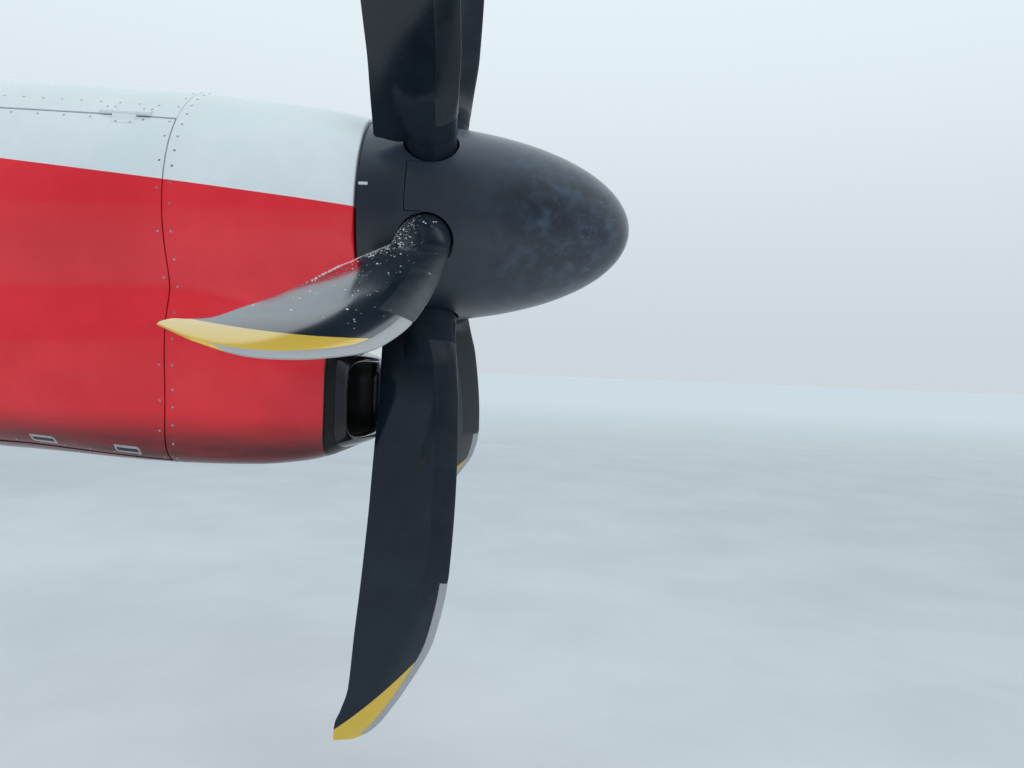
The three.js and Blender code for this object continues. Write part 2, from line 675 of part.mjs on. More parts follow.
// Hub: barrel, blade arms, pitch actuator in front and the shaft to the gearbox behind
function propellerHub() {
  const barrel = turnedSolid(
    [
      [PROP_X - SHAFT_END_AFT + SEAT_GAP, 0],
      [PROP_X - SHAFT_END_AFT + SEAT_GAP, 105],
      [PROP_X - 165, 105],
      [PROP_X - 150, 170],
      [PROP_X - 130, 185],
      [PROP_X + 120, 185],
      [PROP_X + 150, 120],
      [PROP_X + 400, 110],
      [PROP_X + 430, 70],
      [PROP_X + 430, 0],
    ],
    24,
  );
  const arm = rodSolid([PROP_X, 0, 100], [PROP_X, 0, SHANK_INNER - SEAT_GAP], 104, 16);
  const carrier = turnedSolid(
    [
      [PROP_X - SPINNER_RIM_AFT + 10 + SEAT_GAP, 186],
      [PROP_X - SPINNER_RIM_AFT + 10 + SEAT_GAP, 260],
      [PROP_X - SPINNER_RIM_AFT + 18, 260],
      [PROP_X - 140, 178],
      [PROP_X - 160, 150],
      [PROP_X - SPINNER_RIM_AFT + 10 + SEAT_GAP, 186],
    ],
    24,
  );
  return join([barrel, carrier, ...bladeAngles.map((angle) => turnAbout(arm, angle))]);
}
add("propeller_hub", "hub", toGeometry(propellerHub()));

// Blades. Chord places are measured from the pitch axis, positive towards the leading edge.
// radius, leading edge, trailing edge
const BLADE_EDGES = [
  [455, 116, -219],
  [500, 119, -216],
  [800, 134, -202],
  [1150, 139, -202],
  [1450, 131, -209],
  [1700, 89, -221],
  [1880, -6, -230],
  [1960, -64, -254],
  [2000, -98, -271],
  [2040, -150, -274],
  [2057, -202, -272],
];
// radius, angle of the chord from the plane of rotation in degrees, thickness over chord, camber
const BLADE_SECTIONS = [
  [455, 103.5, 0.17, 0.01],
  [600, 99.5, 0.14, 0.02],
  [800, 94, 0.1, 0.028],
  [1000, 88.7, 0.075, 0.03],
  [1250, 83.8, 0.055, 0.028],
  [1500, 79.5, 0.045, 0.024],
  [1800, 71.5, 0.036, 0.018],
  [2057, 65.3, 0.032, 0.01],
];
const BLADE_STATIONS = [455, 520, 570, 620, 720, 900, 1180, SHEATH_START, 1700, 1800, 1880, 1960, 2010, 2040, 2057];
const BOOT_STATIONS = [520, 570, 620, 720, 900, 1180, SHEATH_START];
const SHEATH_STATIONS = [SHEATH_START, 1700, 1800, 1880, 1960, 2010, 2040];
const BOOT_WIDTH = 90;
const EDGE_HALF_THICKNESS = 1.6;

function bladeSection(r) {
  const [lead, trail] = interpolate(BLADE_EDGES, r);
  const [angle, ratio, camber] = interpolate(BLADE_SECTIONS, r);
  return { lead, trail, chord: lead - trail, angle: radians(angle), ratio, camber };
}

// Places across the chord, as shares from the leading edge: the third is the sheath's inner edge and
// the fifth the boot's
function chordShares(r) {
  const { chord } = bladeSection(r);
  const sheath = Math.min(SHEATH_WIDTH / chord, 0.3);
  const boot = Math.max(BOOT_WIDTH / chord, sheath + 0.12);
  const behind = [0.18, 0.36, 0.56, 0.79, 1].map((share) => lerp(boot, 1, share));
  return [0, sheath / 3, sheath, (sheath + boot) / 2, boot, ...behind];
}

// Half thickness and camber line of the blade at a chord share, with the round shank fairing in
function bladeHeights(r, share) {
  const { lead, chord, ratio, camber } = bladeSection(r);
  const t = share;
  const profile = 0.2969 * Math.sqrt(t) - 0.126 * t - 0.3516 * t ** 2 + 0.2843 * t ** 3 - 0.1036 * t ** 4;
  const aerofoil = 5 * ratio * chord * profile + EDGE_HALF_THICKNESS * (0.35 + 0.65 * t);
  const fade = clamp((r - BLADE_ROOT) / 220, 0, 1);
  const shankHeight = (SHANK_RADIUS + 1) * (1 - fade * fade * (3 - 2 * fade));
  const shankWidth = SHANK_RADIUS + 1 + 0.1 * (r - BLADE_ROOT);
  const c = lead - share * chord;
  const bulge = shankHeight * Math.sqrt(Math.max(1 - (c / shankWidth) ** 2, 0));
  const power = 4;
  const half = (aerofoil ** power + bulge ** power) ** (1 / power);
  return { half, line: camber * chord * 4 * t * (1 - t) * (1 - bulge / Math.max(half, 1e-6) / 1.2), c };
}

// A point in the first blade's place from its radius, chord place and height, before it is turned to
// its angle about the shaft: the span runs along +Z and the blade moves towards -Y.
function bladePoint(r, c, n) {
  const { angle } = bladeSection(r);
  return new THREE.Vector3(
    PROP_X + c * Math.sin(angle) + n * Math.cos(angle),
    -c * Math.cos(angle) + n * Math.sin(angle),
    r,
  );
}

// A row of points along one face of the blade, from the leading edge back, moved outwards by grow
function bladeRow(r, side, grow = 0, count = Infinity) {
  return chordShares(r)
    .slice(0, count)
    .map((share) => {
      const { half, line, c } = bladeHeights(r, share);
      return bladePoint(r, c + grow * (1 - 2 * share), line + side * (half + grow));
    });
}

const bladeLoops = BLADE_STATIONS.map((r) => [...bladeRow(r, 1), ...bladeRow(r, -1).reverse()]);
const shankRod = rodSolid([PROP_X, 0, SHANK_INNER], [PROP_X, 0, 480], SHANK_RADIUS, 24);
const bladeSolid = toSolid(loft(bladeLoops, false, true)).add(shankRod);

// A sleeve of even thickness around the leading edge, between stations of the blade. shrink draws its
// ends in, and count is how many chord places it covers.
function sleeve(stations, count, thickness, shrink) {
  const loops = stations.map((r) => [
    ...bladeRow(r, 1, SEAT_GAP + thickness, count).reverse(),
    ...bladeRow(r, -1, SEAT_GAP + thickness, count),
    ...bladeRow(r, -1, SEAT_GAP, count).reverse(),
    ...bladeRow(r, 1, SEAT_GAP, count),
  ]);
  const ends = [loops[0], loops.at(-1)];
  const nextTo = [loops[1], loops.at(-2)];
  ends.forEach((loop, e) => {
    const length = Math.abs(loop[0].z - nextTo[e][0].z);
    loop.forEach((p, k) => p.lerp(nextTo[e][k], shrink / length));
  });
  return toSolid(loft(loops, false, true));
}
const bootSolid = sleeve(BOOT_STATIONS, 5, 2, SEAT_GAP);
const sheathSolid = sleeve(SHEATH_STATIONS, 3, 1.2, SEAT_GAP);
bladeAngles.forEach((angle, k) => {
  add(`blade_${k + 1}`, "blade", toGeometry(turnAbout(bladeSolid, angle)));
  add(`blade_${k + 1}_boot`, "boot", toGeometry(turnAbout(bootSolid, angle)));
  add(`blade_${k + 1}_sheath`, "sheath", toGeometry(turnAbout(sheathSolid, angle)));
});

export default group;
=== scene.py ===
"""A turboprop engine nacelle with its six-blade propeller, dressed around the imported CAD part.

Metres throughout. +X points forward along the propeller shaft, +Y to the left, +Z up, and the origin is on
the aft face of the firewall. "Aft" is measured back from the plane of the blade pitch axes.
"""

import math

import bmesh
import bpy
import numpy as np
from mathutils import Euler, Matrix, Vector


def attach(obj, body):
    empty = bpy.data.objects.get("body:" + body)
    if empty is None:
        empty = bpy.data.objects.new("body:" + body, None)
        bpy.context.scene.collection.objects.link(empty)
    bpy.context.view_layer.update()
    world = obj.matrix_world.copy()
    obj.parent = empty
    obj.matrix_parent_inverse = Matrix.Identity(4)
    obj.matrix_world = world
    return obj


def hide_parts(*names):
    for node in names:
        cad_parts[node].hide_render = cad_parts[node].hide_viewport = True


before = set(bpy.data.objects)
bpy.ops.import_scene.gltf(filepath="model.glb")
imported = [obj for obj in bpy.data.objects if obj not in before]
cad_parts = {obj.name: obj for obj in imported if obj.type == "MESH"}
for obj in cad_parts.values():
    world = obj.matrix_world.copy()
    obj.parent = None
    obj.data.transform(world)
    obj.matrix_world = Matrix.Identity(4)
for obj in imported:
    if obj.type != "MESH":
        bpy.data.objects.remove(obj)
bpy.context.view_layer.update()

# Sizes, most of them shared with the part's source
PROP_X = 2.700
PANEL = 0.016  # thickness of a cowl panel as it is shown
GAP = 0.0003
NACELLE = [  # aft, upper radius, chin half width, chin top, chin bottom, waist half width
    (0.270, 0.428, 0.350, -0.560, -0.929, 0.230),
    (0.365, 0.446, 0.372, -0.548, -0.976, 0.250),
    (0.480, 0.464, 0.388, -0.535, -1.004, 0.300),
    (0.640, 0.481, 0.402, -0.500, -1.022, 0.345),
    (0.960, 0.508, 0.425, -0.400, -1.030, 0.400),
    (2.700, 0.560, 0.470, -0.300, -0.960, 0.440),
]
CHIN_POWERS = (6.5, 3.2)  # of the chin's rounded outline: square at the mouth, rounder from the doors back
VALLEY, WAIST_CORNER = 18.0, 14.0  # tightness of the blends between upper body, waist and chin
WAIST_Z, WAIST_HALF_HEIGHT = -0.500, 0.150
TOP_SHARE, SIDE_SHARE = 0.21, 0.33
COWL_FRONT, COLLAR_AFT, BOOT_AFT, LIP_SWEEP = 0.270, 0.365, 0.290, 0.040
NOSE_COWL_END, DOOR_END, DOOR_GAP = 0.960, 2.560, 0.005
FIREWALL_THICKNESS = 0.030
DOOR_TOP, DOOR_BOTTOM = 4 / 32, 13 / 32
HINGE_RISE, KNUCKLE_RADIUS = 0.013, 0.009
KNUCKLE_STATIONS, FIXED_HALF_LENGTH, DOOR_HALF_LENGTH = (0.12, 0.50, 0.88), 0.095, 0.045
SEAM_OUTSIDE = (0.364, -0.5575, -0.941)  # half width, top and bottom where collar and lip meet
LIP_PROFILE = [  # aft, half width, top, bottom, sweep of the sides, squareness
    (BOOT_AFT - 0.0010, *SEAM_OUTSIDE, 0.040, 6.5),
    (0.268, 0.353, -0.563, -0.935, 0.043, 5.8),
    (0.250, 0.342, -0.573, -0.926, 0.045, 5.2),
    (0.243, 0.332, -0.584, -0.914, 0.046, 5.0),
    (0.249, 0.324, -0.593, -0.904, 0.045, 5.2),
    (0.268, 0.319, -0.598, -0.899, 0.043, 5.4),
    (BOOT_AFT - 0.0010, 0.317, -0.600, -0.897, 0.040, 5.5),
]
DUCT = [  # aft, half width, top, bottom of the duct's outer surface, squareness
    (0.285, 0.323, -0.594, -0.903, 5.5),
    (0.400, 0.318, -0.597, -0.893, 5.3),
    (0.800, 0.250, -0.560, -0.800, 3.6),
    (1.150, 0.200, -0.400, -0.620, 3.2),
]
DUCT_WALLS = (0.006, 0.010)  # at the mouth and behind it
SPINNER_RIM_AFT, SPINNER_RIM_RADIUS, SPINNER_AHEAD, SPINNER_POWER = 0.260, 0.416, 0.811, 2.184
SPINNER_WALL, SEAM_AFT, SOCKET_RADIUS, SLOT_CLEARANCE = 0.009, 0.080, 0.109, 0.004
BLADE_COUNT, BLADE_PHASE = 6, 48.4
SHANK_RADIUS, CUFF_RADIUS, SHANK_INNER, BLADE_ROOT = 0.093, 0.101, 0.270, 0.455
TIP_PAINT_SHIFTS = (0.0, -0.028, 0.028, 0.0, 0.012, -0.010)  # the yellow tips are masked by hand
FAIRING = 0.220  # length over which the shank's round form dies out
SHEATH_START, SHEATH_END, SHEATH_WIDTH, BOOT_START, BOOT_WIDTH = 1.487, 2.040, 0.031, 0.520, 0.090
BLADE_EDGES = [  # radius, leading edge, trailing edge
    (0.455, 0.104, -0.219),
    (0.500, 0.107, -0.216),
    (0.600, 0.115, -0.211),
    (0.800, 0.133, -0.202),
    (1.150, 0.139, -0.202),
    (1.450, 0.131, -0.209),
    (1.700, 0.089, -0.221),
    (1.880, -0.006, -0.230),
    (1.960, -0.064, -0.254),
    (2.000, -0.098, -0.271),
    (2.040, -0.150, -0.274),
    (2.057, -0.202, -0.272),
]
BLADE_SECTIONS = [  # radius, chord angle, thickness over chord, camber
    (0.455, 103.5, 0.170, 0.010),
    (0.600, 99.5, 0.140, 0.020),
    (0.800, 94.0, 0.100, 0.028),
    (1.000, 88.7, 0.075, 0.030),
    (1.250, 83.8, 0.055, 0.028),
    (1.500, 79.5, 0.045, 0.024),
    (1.800, 71.5, 0.036, 0.018),
    (2.057, 65.3, 0.032, 0.010),
]
CORE_Z, EXHAUST_Z, EXHAUST_RADIUS = -0.150, -0.330, 0.150
HUB_HEIGHT = 3.03  # the shaft line above the ground
WALLS = ("top", "left", "bottom", "right")
PAINT_LINE_SLOPE, PAINT_LINE_HEIGHT = -0.088, 0.2024  # of the edge between red and white, along x
MAP_SHIFT = 0.5  # added to chord places in a blade's surface map, which holds no negative numbers
TIP_LINE_PLACE, TIP_LINE_RADIUS, TIP_LINE_SLOPE, TIP_LINE_BEND = 0.036, 1.742, 1.03, -0.7
COLLAR_BORE = (0.3390, -0.5930, -0.9060)  # half width, top and bottom
DUCT_HOLE = (0.366, 0.324, -0.5925, -0.8995)  # in the nose cowl's web: aft, half width, top and bottom
WEB_FRONT, WEB_REAR, SHAFT_HOLE_RADIUS = 0.3662, 0.384, 0.205
AROUND = 3.6  # metres round a section, near enough


# Camera, from the photograph's fitted pose
def make_camera():
    data = bpy.data.cameras.new("camera")
    data.sensor_width, data.lens = 36.0, 28.125
    data.clip_start, data.clip_end = 0.05, 600.0
    camera = bpy.data.objects.new("camera", data)
    tilt, roll, heading = 88.845, -2.321, 1.841
    turn = Euler([math.radians(angle) for angle in (tilt, roll, heading)]).to_matrix()
    camera.matrix_world = Matrix.Translation((PROP_X + 0.4491, -3.4255, -0.5952)) @ turn.to_4x4()
    bpy.context.collection.objects.link(camera)
    bpy.context.scene.camera = camera


# Curves through table rows
def smooth_table(rows, at):
    """Values of each column at the given places, on a curve that doesn't overshoot the rows."""
    rows = np.asarray(rows, float)
    x, at = rows[:, 0], np.asarray(at, float)
    step = np.diff(x)
    columns = []
    for y in rows[:, 1:].T:
        rise = np.diff(y) / step
        slope = np.zeros_like(y)
        slope[0], slope[-1] = rise[0], rise[-1]
        same = rise[:-1] * rise[1:] > 0
        w1, w2 = 2 * step[1:] + step[:-1], step[1:] + 2 * step[:-1]
        safe = np.where(same, rise[:-1], 1.0), np.where(same, rise[1:], 1.0)
        slope[1:-1] = np.where(same, (w1 + w2) / (w1 / safe[0] + w2 / safe[1]), 0.0)
        k = np.clip(np.searchsorted(x, at) - 1, 0, len(step) - 1)
        t = np.clip((at - x[k]) / step[k], 0, 1)
        h = step[k]
        columns.append(
            y[k] * (2 * t**3 - 3 * t**2 + 1)
            + slope[k] * h * (t**3 - 2 * t**2 + t)
            + y[k + 1] * (3 * t**2 - 2 * t**3)
            + slope[k + 1] * h * (t**3 - t**2)
        )
    return columns


def smooth_rows(rows, steps):
    """Points on a curve through the rows, with a number of steps between neighbours."""
    rows = np.asarray(rows, float)
    ends = np.concatenate([2 * rows[:1] - rows[1:2], rows, 2 * rows[-1:] - rows[-2:-1]])
    t = np.linspace(0, 1, steps, endpoint=False)[:, None]
    parts = [
        0.5 * (2 * b + (c - a) * t + (2 * a - 5 * b + 4 * c - d) * t**2 + (3 * b - a - 3 * c + d) * t**3)
        for a, b, c, d in zip(ends, ends[1:], ends[2:], ends[3:])
    ]
    return np.concatenate([*parts, rows[-1:]])


def ease(value, low, high):
    """Runs smoothly from 0 at low to 1 at high."""
    t = np.clip((np.asarray(value, float) - low) / (high - low), 0, 1)
    return t * t * (3 - 2 * t)


# Places round the shaft
def turns(count):
    """Angles of a full turn, without its end."""
    return np.linspace(0, 2 * math.pi, count, endpoint=False)


def circle(x, radius, height=0.0, points=72):
    """A ring of points round a line along x, from the top through +Y."""
    angle = turns(points)
    return np.stack([np.full(points, float(x)), radius * np.sin(angle), height + radius * np.cos(angle)], -1)


def from_aft(rows):
    """Rows that start with a distance aft, with the place along x put there instead."""
    return [(PROP_X - aft, *rest) for aft, *rest in rows]


# Nacelle sections
def soft_least(values, tightness):
    values = np.stack(values)
    low = values.min(0)
    return low - np.log(np.exp(-(values - low) * tightness).sum(0)) / tightness


def chin_power(aft):
    return CHIN_POWERS[1] + (CHIN_POWERS[0] - CHIN_POWERS[1]) * (1 - ease(aft, 0.60, 1.60))


def section_distance(values, power, y, z):
    """Distance, near enough, from a point of a section to the surface of upper body, waist and chin."""
    radius, half_width, top, bottom, waist = values
    upper = np.hypot(y, z) - radius
    half_height, middle = (top - bottom) / 2, (top + bottom) / 2
    reach = (np.abs(y / half_width) ** power + np.abs((z - middle) / half_height) ** power) ** (1 / power)
    share = np.clip(np.abs(y) / half_width, 0, 1)
    chin = (reach - 1) * (half_height + (half_width - half_height) * share)
    between = -soft_least([waist - np.abs(y), WAIST_HALF_HEIGHT - np.abs(z - WAIST_Z)], WAIST_CORNER)
    return soft_least([upper, chin, between], VALLEY)


def section(aft, place, inset=0.0):
    """Points of the nacelle's surface. place runs from 0 at the top through +Y and the bottom to 1."""
    aft, place, inset = np.broadcast_arrays(*[np.asarray(value, float) for value in (aft, place, inset)])
    values, power = smooth_table(NACELLE, aft), chin_power(aft)
    low = (values[2] + values[3]) / 2
    around = np.mod(place, 1)
    side = np.where(around <= 0.5, 1.0, -1.0)
    u = np.where(around <= 0.5, around, 1 - around)
    quarter = math.pi / 2
    angle = np.where(
        u < TOP_SHARE,
        u / TOP_SHARE * quarter,
        np.where(u < SIDE_SHARE, quarter, quarter * (1 + (u - SIDE_SHARE) / (0.5 - SIDE_SHARE))),
    )
    start = low * np.clip((u - TOP_SHARE) / (SIDE_SHARE - TOP_SHARE), 0, 1)
    dy, dz = side * np.sin(angle), np.cos(angle)
    near, far = np.zeros_like(u), np.full_like(u, 1.5)
    for _ in range(30):
        middle = (near + far) / 2
        inside = section_distance(values, power, dy * middle, start + dz * middle) < -inset
        near, far = np.where(inside, middle, near), np.where(inside, far, middle)
    return np.stack([PROP_X - aft, dy * near, start + dz * near], -1)


def section_facing(aft, place):
    """Unit vectors that point out of the nacelle's surface."""
    step = 1e-3
    along = section(aft + step, place) - section(aft - step, place)
    around = section(aft, place + step) - section(aft, place - step)
    out = np.cross(around, along)
    return out / np.linalg.norm(out, axis=-1, keepdims=True)


def oval(aft, half_width, top, bottom, sweep=0.0, power=6.5, points=240):
    """A loop with flat sides, from the top through +Y. sweep carries its sides aft."""
    angle = turns(points)
    s, c = np.sin(angle), np.cos(angle)
    reach = (np.abs(s) ** power + np.abs(c) ** power) ** (-1 / power)
    y = half_width * s * reach
    z = (top + bottom) / 2 + (top - bottom) / 2 * c * reach
    return np.stack([PROP_X - aft - sweep * (y / half_width) ** 2, y, z], -1)


# Meshes
def link_mesh(name, vertices, faces, uv=None, sharp=30.0):
    """A mesh piece that faces outwards, with its doubles merged."""
    mesh = bpy.data.meshes.new(name)
    vertices = np.asarray(vertices, float).reshape(-1, 3)
    mesh.from_pydata([tuple(v) for v in vertices], [], [tuple(map(int, f)) for f in faces])
    if uv is not None:
        layer = mesh.uv_layers.new(name="surface")
        corner = np.zeros(len(mesh.loops), int)
        mesh.loops.foreach_get("vertex_index", corner)
        layer.data.foreach_set("uv", np.asarray(uv, float).reshape(-1, 2)[corner].ravel())
    edit = bmesh.new()
    edit.from_mesh(mesh)
    bmesh.ops.remove_doubles(edit, verts=edit.verts, dist=1e-6)
    bmesh.ops.recalc_face_normals(edit, faces=edit.faces)
    edit.to_mesh(mesh)
    edit.free()
    mesh.shade_smooth()
    mesh.set_sharp_from_angle(angle=math.radians(sharp))
    piece = bpy.data.objects.new(name, mesh)
    bpy.context.collection.objects.link(piece)
    return piece


def grid_faces(rows, columns, start=0, wrap=False, flip=False):
    """Quads over a grid of vertices, from the number of its first one."""
    faces = []
    for i in range(rows - 1):
        this, following = start + i * columns, start + (i + 1) * columns
        for j in range(columns if wrap else columns - 1):
            k = (j + 1) % columns
            quad = (this + j, this + k, following + k, following + j)
            faces.append(quad[::-1] if flip else quad)
    return faces


def shell(name, outer, inner, wrap=False, uv=None, sharp=30.0):
    """A closed piece from an outer and an inner grid of points."""
    rows, columns = outer.shape[:2]
    count = rows * columns
    faces = grid_faces(rows, columns, 0, wrap) + grid_faces(rows, columns, count, wrap, True)
    for i in (0, rows - 1):
        for j in range(columns if wrap else columns - 1):
            a, b = i * columns + j, i * columns + (j + 1) % columns
            faces.append((a, b, count + b, count + a))
    if not wrap:
        for j in (0, columns - 1):
            for i in range(rows - 1):
                a, b = i * columns + j, (i + 1) * columns + j
                faces.append((a, b, count + b, count + a))
    both = np.concatenate([outer.reshape(-1, 3), inner.reshape(-1, 3)])
    if uv is not None:
        uv = np.concatenate([uv.reshape(-1, 2)] * 2)
    return link_mesh(name, both, faces, uv, sharp)


def loft(name, loops, ring=False, sharp=30.0):
    """A skin over closed loops of equal length. A ring closes on its first loop, any other is capped."""
    loops = np.asarray(loops, float)
    rows, columns = loops.shape[:2]
    faces = grid_faces(rows, columns, 0, True)
    last = (rows - 1) * columns
    if ring:
        faces += [(last + j, last + (j + 1) % columns, (j + 1) % columns, j) for j in range(columns)]
    else:
        faces += [tuple(range(columns)), tuple(range(last, last + columns))]
    return link_mesh(name, loops, faces, sharp=sharp)


def lathe(name, profile, segments=96, height=0.0):
    """A body of revolution about a line along x, from a closed run of [x, radius] points."""
    loops = [circle(x, radius, height, segments) for x, radius in np.asarray(profile, float)]
    return loft(name, loops, True)


def plate(name, loops, front, back):
    """A flat plate across the shaft line, from an outline and the outlines of its holes."""
    edit = bmesh.new()
    rims = []
    for x in (front, back):
        edges = []
        for loop in loops:
            vertices = [edit.verts.new((x, y, z)) for _, y, z in loop]
            edges += [edit.edges.new((a, b)) for a, b in zip(vertices, vertices[1:] + vertices[:1])]
            rims.append(vertices)
        bmesh.ops.triangle_fill(edit, edges=edges, use_beauty=True)
    for a, b in zip(rims, rims[len(loops):]):
        for k in range(len(a)):
            edit.faces.new((a[k - 1], a[k], b[k], b[k - 1]))
    mesh = bpy.data.meshes.new(name)
    edit.to_mesh(mesh)
    edit.free()
    return link_mesh(name, [v.co for v in mesh.vertices], [p.vertices for p in mesh.polygons])


def tube(name, path, radius, sides=16, steps=8):
    """A round pipe through the points of a path."""
    path = smooth_rows(path, steps) if len(path) > 2 else np.asarray(path, float)
    radius = np.broadcast_to(radius, len(path))
    along = np.gradient(path, axis=0)
    along /= np.linalg.norm(along, axis=1, keepdims=True)
    side = np.cross(along[0], (0.0, 0.0, 1.0) if abs(along[0][2]) < 0.9 else (0.0, 1.0, 0.0))
    angle = turns(sides)[:, None]
    loops = []
    for point, ahead, size in zip(path, along, radius):
        side = side - ahead * (side @ ahead)
        side /= np.linalg.norm(side)
        loops.append(point + size * (np.cos(angle) * side + np.sin(angle) * np.cross(ahead, side)))
    return loft(name, loops, sharp=40)


def soft_box(name, low, high, edge=0.006):
    """A machined block with rounded edges."""
    low, high = np.array(low), np.array(high)
    half, middle = (high - low) / 2, (high + low) / 2
    edit = bmesh.new()
    bmesh.ops.create_cube(edit, size=2.0)
    for vertex in edit.verts:
        vertex.co = Vector(middle + np.array(vertex.co) * half)
    bmesh.ops.bevel(edit, geom=edit.edges[:], offset=edge, segments=3, affect="EDGES", profile=0.5)
    mesh = bpy.data.meshes.new(name)
    edit.to_mesh(mesh)
    edit.free()
    return link_mesh(name, [v.co for v in mesh.vertices], [p.vertices for p in mesh.polygons], sharp=50)


def finish_piece(piece, body, slot_name, material, *nodes):
    """Gives a piece its material and body, and hides the CAD nodes that it stands for. slot_name is not used.
    """
    piece.data.materials.clear()
    piece.data.materials.append(material)
    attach(piece, body)
    if nodes:
        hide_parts(*nodes)
    return piece


# Shapes from node trees
class ShapeTree:
    """Builds a tree of geometry nodes with named inputs, and makes plain meshes with it."""

    def __init__(self, name, **sizes):
        self.group = bpy.data.node_groups.new(name, "GeometryNodeTree")
        self.group.interface.new_socket("Geometry", in_out="OUTPUT", socket_type="NodeSocketGeometry")
        self.group.interface.new_socket("Geometry", in_out="INPUT", socket_type="NodeSocketGeometry")
        for key, kind in sizes.items():
            label = key.replace("_", " ")
            self.group.interface.new_socket(label, in_out="INPUT", socket_type=f"NodeSocket{kind}")
        self.entry = self.group.nodes.new("NodeGroupInput")
        self.base = self.entry.outputs["Geometry"]

    def size(self, name):
        return self.entry.outputs[name]

    def node(self, kind, inputs=None, **settings):
        made = self.group.nodes.new(kind)
        for key, value in settings.items():
            setattr(made, key, value)
        for key, value in (inputs or {}).items():
            self.join(made.inputs[key], value)
        return made

    def join(self, socket, value):
        for one in value if isinstance(value, list) else [value]:
            if isinstance(one, bpy.types.NodeSocket):
                self.group.links.new(one, socket)
            else:
                socket.default_value = one

    def math(self, operation, *values):
        made = self.node("ShaderNodeMath", operation=operation)
        for socket, value in zip(made.inputs, values):
            self.join(socket, value)
        return made.outputs[0]

    def vector(self, x=0.0, y=0.0, z=0.0):
        return self.node("ShaderNodeCombineXYZ", {"X": x, "Y": y, "Z": z}).outputs[0]

    def cylinder(self, sides, radius, depth):
        return self.node("GeometryNodeMeshCylinder", {"Vertices": sides, "Radius": radius, "Depth": depth})

    def moved(self, made, place, turn=(0.0, 0.0, 0.0)):
        inputs = {"Geometry": made, "Translation": place, "Rotation": turn}
        return self.node("GeometryNodeTransform", inputs).outputs[0]

    def named(self, name, kind="FLOAT_VECTOR"):
        made = self.node("GeometryNodeInputNamedAttribute", {"Name": name}, data_type=kind)
        return made.outputs["Attribute"]

    def close(self, geometry, material):
        real = self.node("GeometryNodeRealizeInstances", {"Geometry": geometry})
        painted = self.node("GeometryNodeSetMaterial", {"Geometry": real.outputs[0], "Material": material})
        exit_node = self.group.nodes.new("NodeGroupOutput")
        self.group.links.new(painted.outputs[0], exit_node.inputs["Geometry"])

    def make(self, name, base=None, **sizes):
        """A plain mesh piece, from a base mesh or from nothing."""
        piece = bpy.data.objects.new(name, base or bpy.data.meshes.new(name))
        bpy.context.collection.objects.link(piece)
        modifier = piece.modifiers.new("shape", "NODES")
        modifier.node_group = self.group
        for socket in self.group.interface.items_tree:
            key = socket.name.replace(" ", "_")
            if socket.in_out == "INPUT" and key in sizes:
                modifier[socket.identifier] = sizes[key]
        made = piece.evaluated_get(bpy.context.evaluated_depsgraph_get())
        mesh = bpy.data.meshes.new_from_object(made)
        piece.modifiers.remove(modifier)
        piece.data = mesh
        mesh.name = name
        mesh.shade_smooth()
        mesh.set_sharp_from_angle(angle=math.radians(40.0))
        return piece


def fastener_tree(material, head_sides):
    """A washer and a head on every point of the base, along its facing."""
    tree = ShapeTree("fastener", Radius="Float", Height="Float")
    radius, height = tree.size("Radius"), tree.size("Height")
    head = tree.cylinder(head_sides, tree.math("MULTIPLY", radius, 0.78), height)
    washer = tree.cylinder(12, radius, tree.math("MULTIPLY", height, 0.3))
    lift = tree.vector(z=tree.math("MULTIPLY", height, 0.5))
    lifted = tree.moved(head.outputs["Mesh"], lift)
    both = tree.node("GeometryNodeJoinGeometry", {"Geometry": [lifted, washer.outputs["Mesh"]]})
    turn = tree.node("FunctionNodeAlignRotationToVector", {"Vector": tree.named("facing")}, axis="Z")
    on_points = {"Points": tree.base, "Instance": both.outputs[0], "Rotation": turn.outputs[0]}
    placed = tree.node("GeometryNodeInstanceOnPoints", on_points)
    tree.close(placed.outputs[0], material)
    return tree


def place_fasteners(name, tree, places, facings, radius, height, body, slot_name, material):
    mesh = bpy.data.meshes.new(name)
    mesh.from_pydata([tuple(p) for p in places], [], [])
    facing = mesh.attributes.new("facing", "FLOAT_VECTOR", "POINT")
    facing.data.foreach_set("vector", np.asarray(facings, float).ravel())
    return finish_piece(tree.make(name, mesh, Radius=radius, Height=height), body, slot_name, material)


def drop_tree(material, seed):
    """Drops of water on the base mesh, as thick as its drops attribute says."""
    tree = ShapeTree("drops", Density="Float", Small="Float", Large="Float")
    density = tree.math("MULTIPLY", tree.named("drops", "FLOAT"), tree.size("Density"))
    scattered = {"Mesh": tree.base, "Density": density, "Seed": seed}
    spots = tree.node("GeometryNodeDistributePointsOnFaces", scattered)
    drop = tree.node("GeometryNodeMeshIcoSphere", {"Radius": 1.0, "Subdivisions": 1})
    flat = tree.node("GeometryNodeTransform", {"Geometry": drop.outputs["Mesh"], "Scale": (1.0, 1.0, 0.55)})
    chance = tree.node("FunctionNodeRandomValue", {"Seed": seed + 1}, data_type="FLOAT")
    bent = tree.math("POWER", chance.outputs[1], 3.0)  # the second output is the plain number
    spread = tree.math("SUBTRACT", tree.size("Large"), tree.size("Small"))
    scale = tree.math("MULTIPLY_ADD", bent, spread, tree.size("Small"))
    on_points = {
        "Points": spots.outputs["Points"],
        "Instance": flat.outputs[0],
        "Rotation": spots.outputs["Rotation"],
        "Scale": scale,
    }
    placed = tree.node("GeometryNodeInstanceOnPoints", on_points)
    tree.close(placed.outputs[0], material)
    return tree


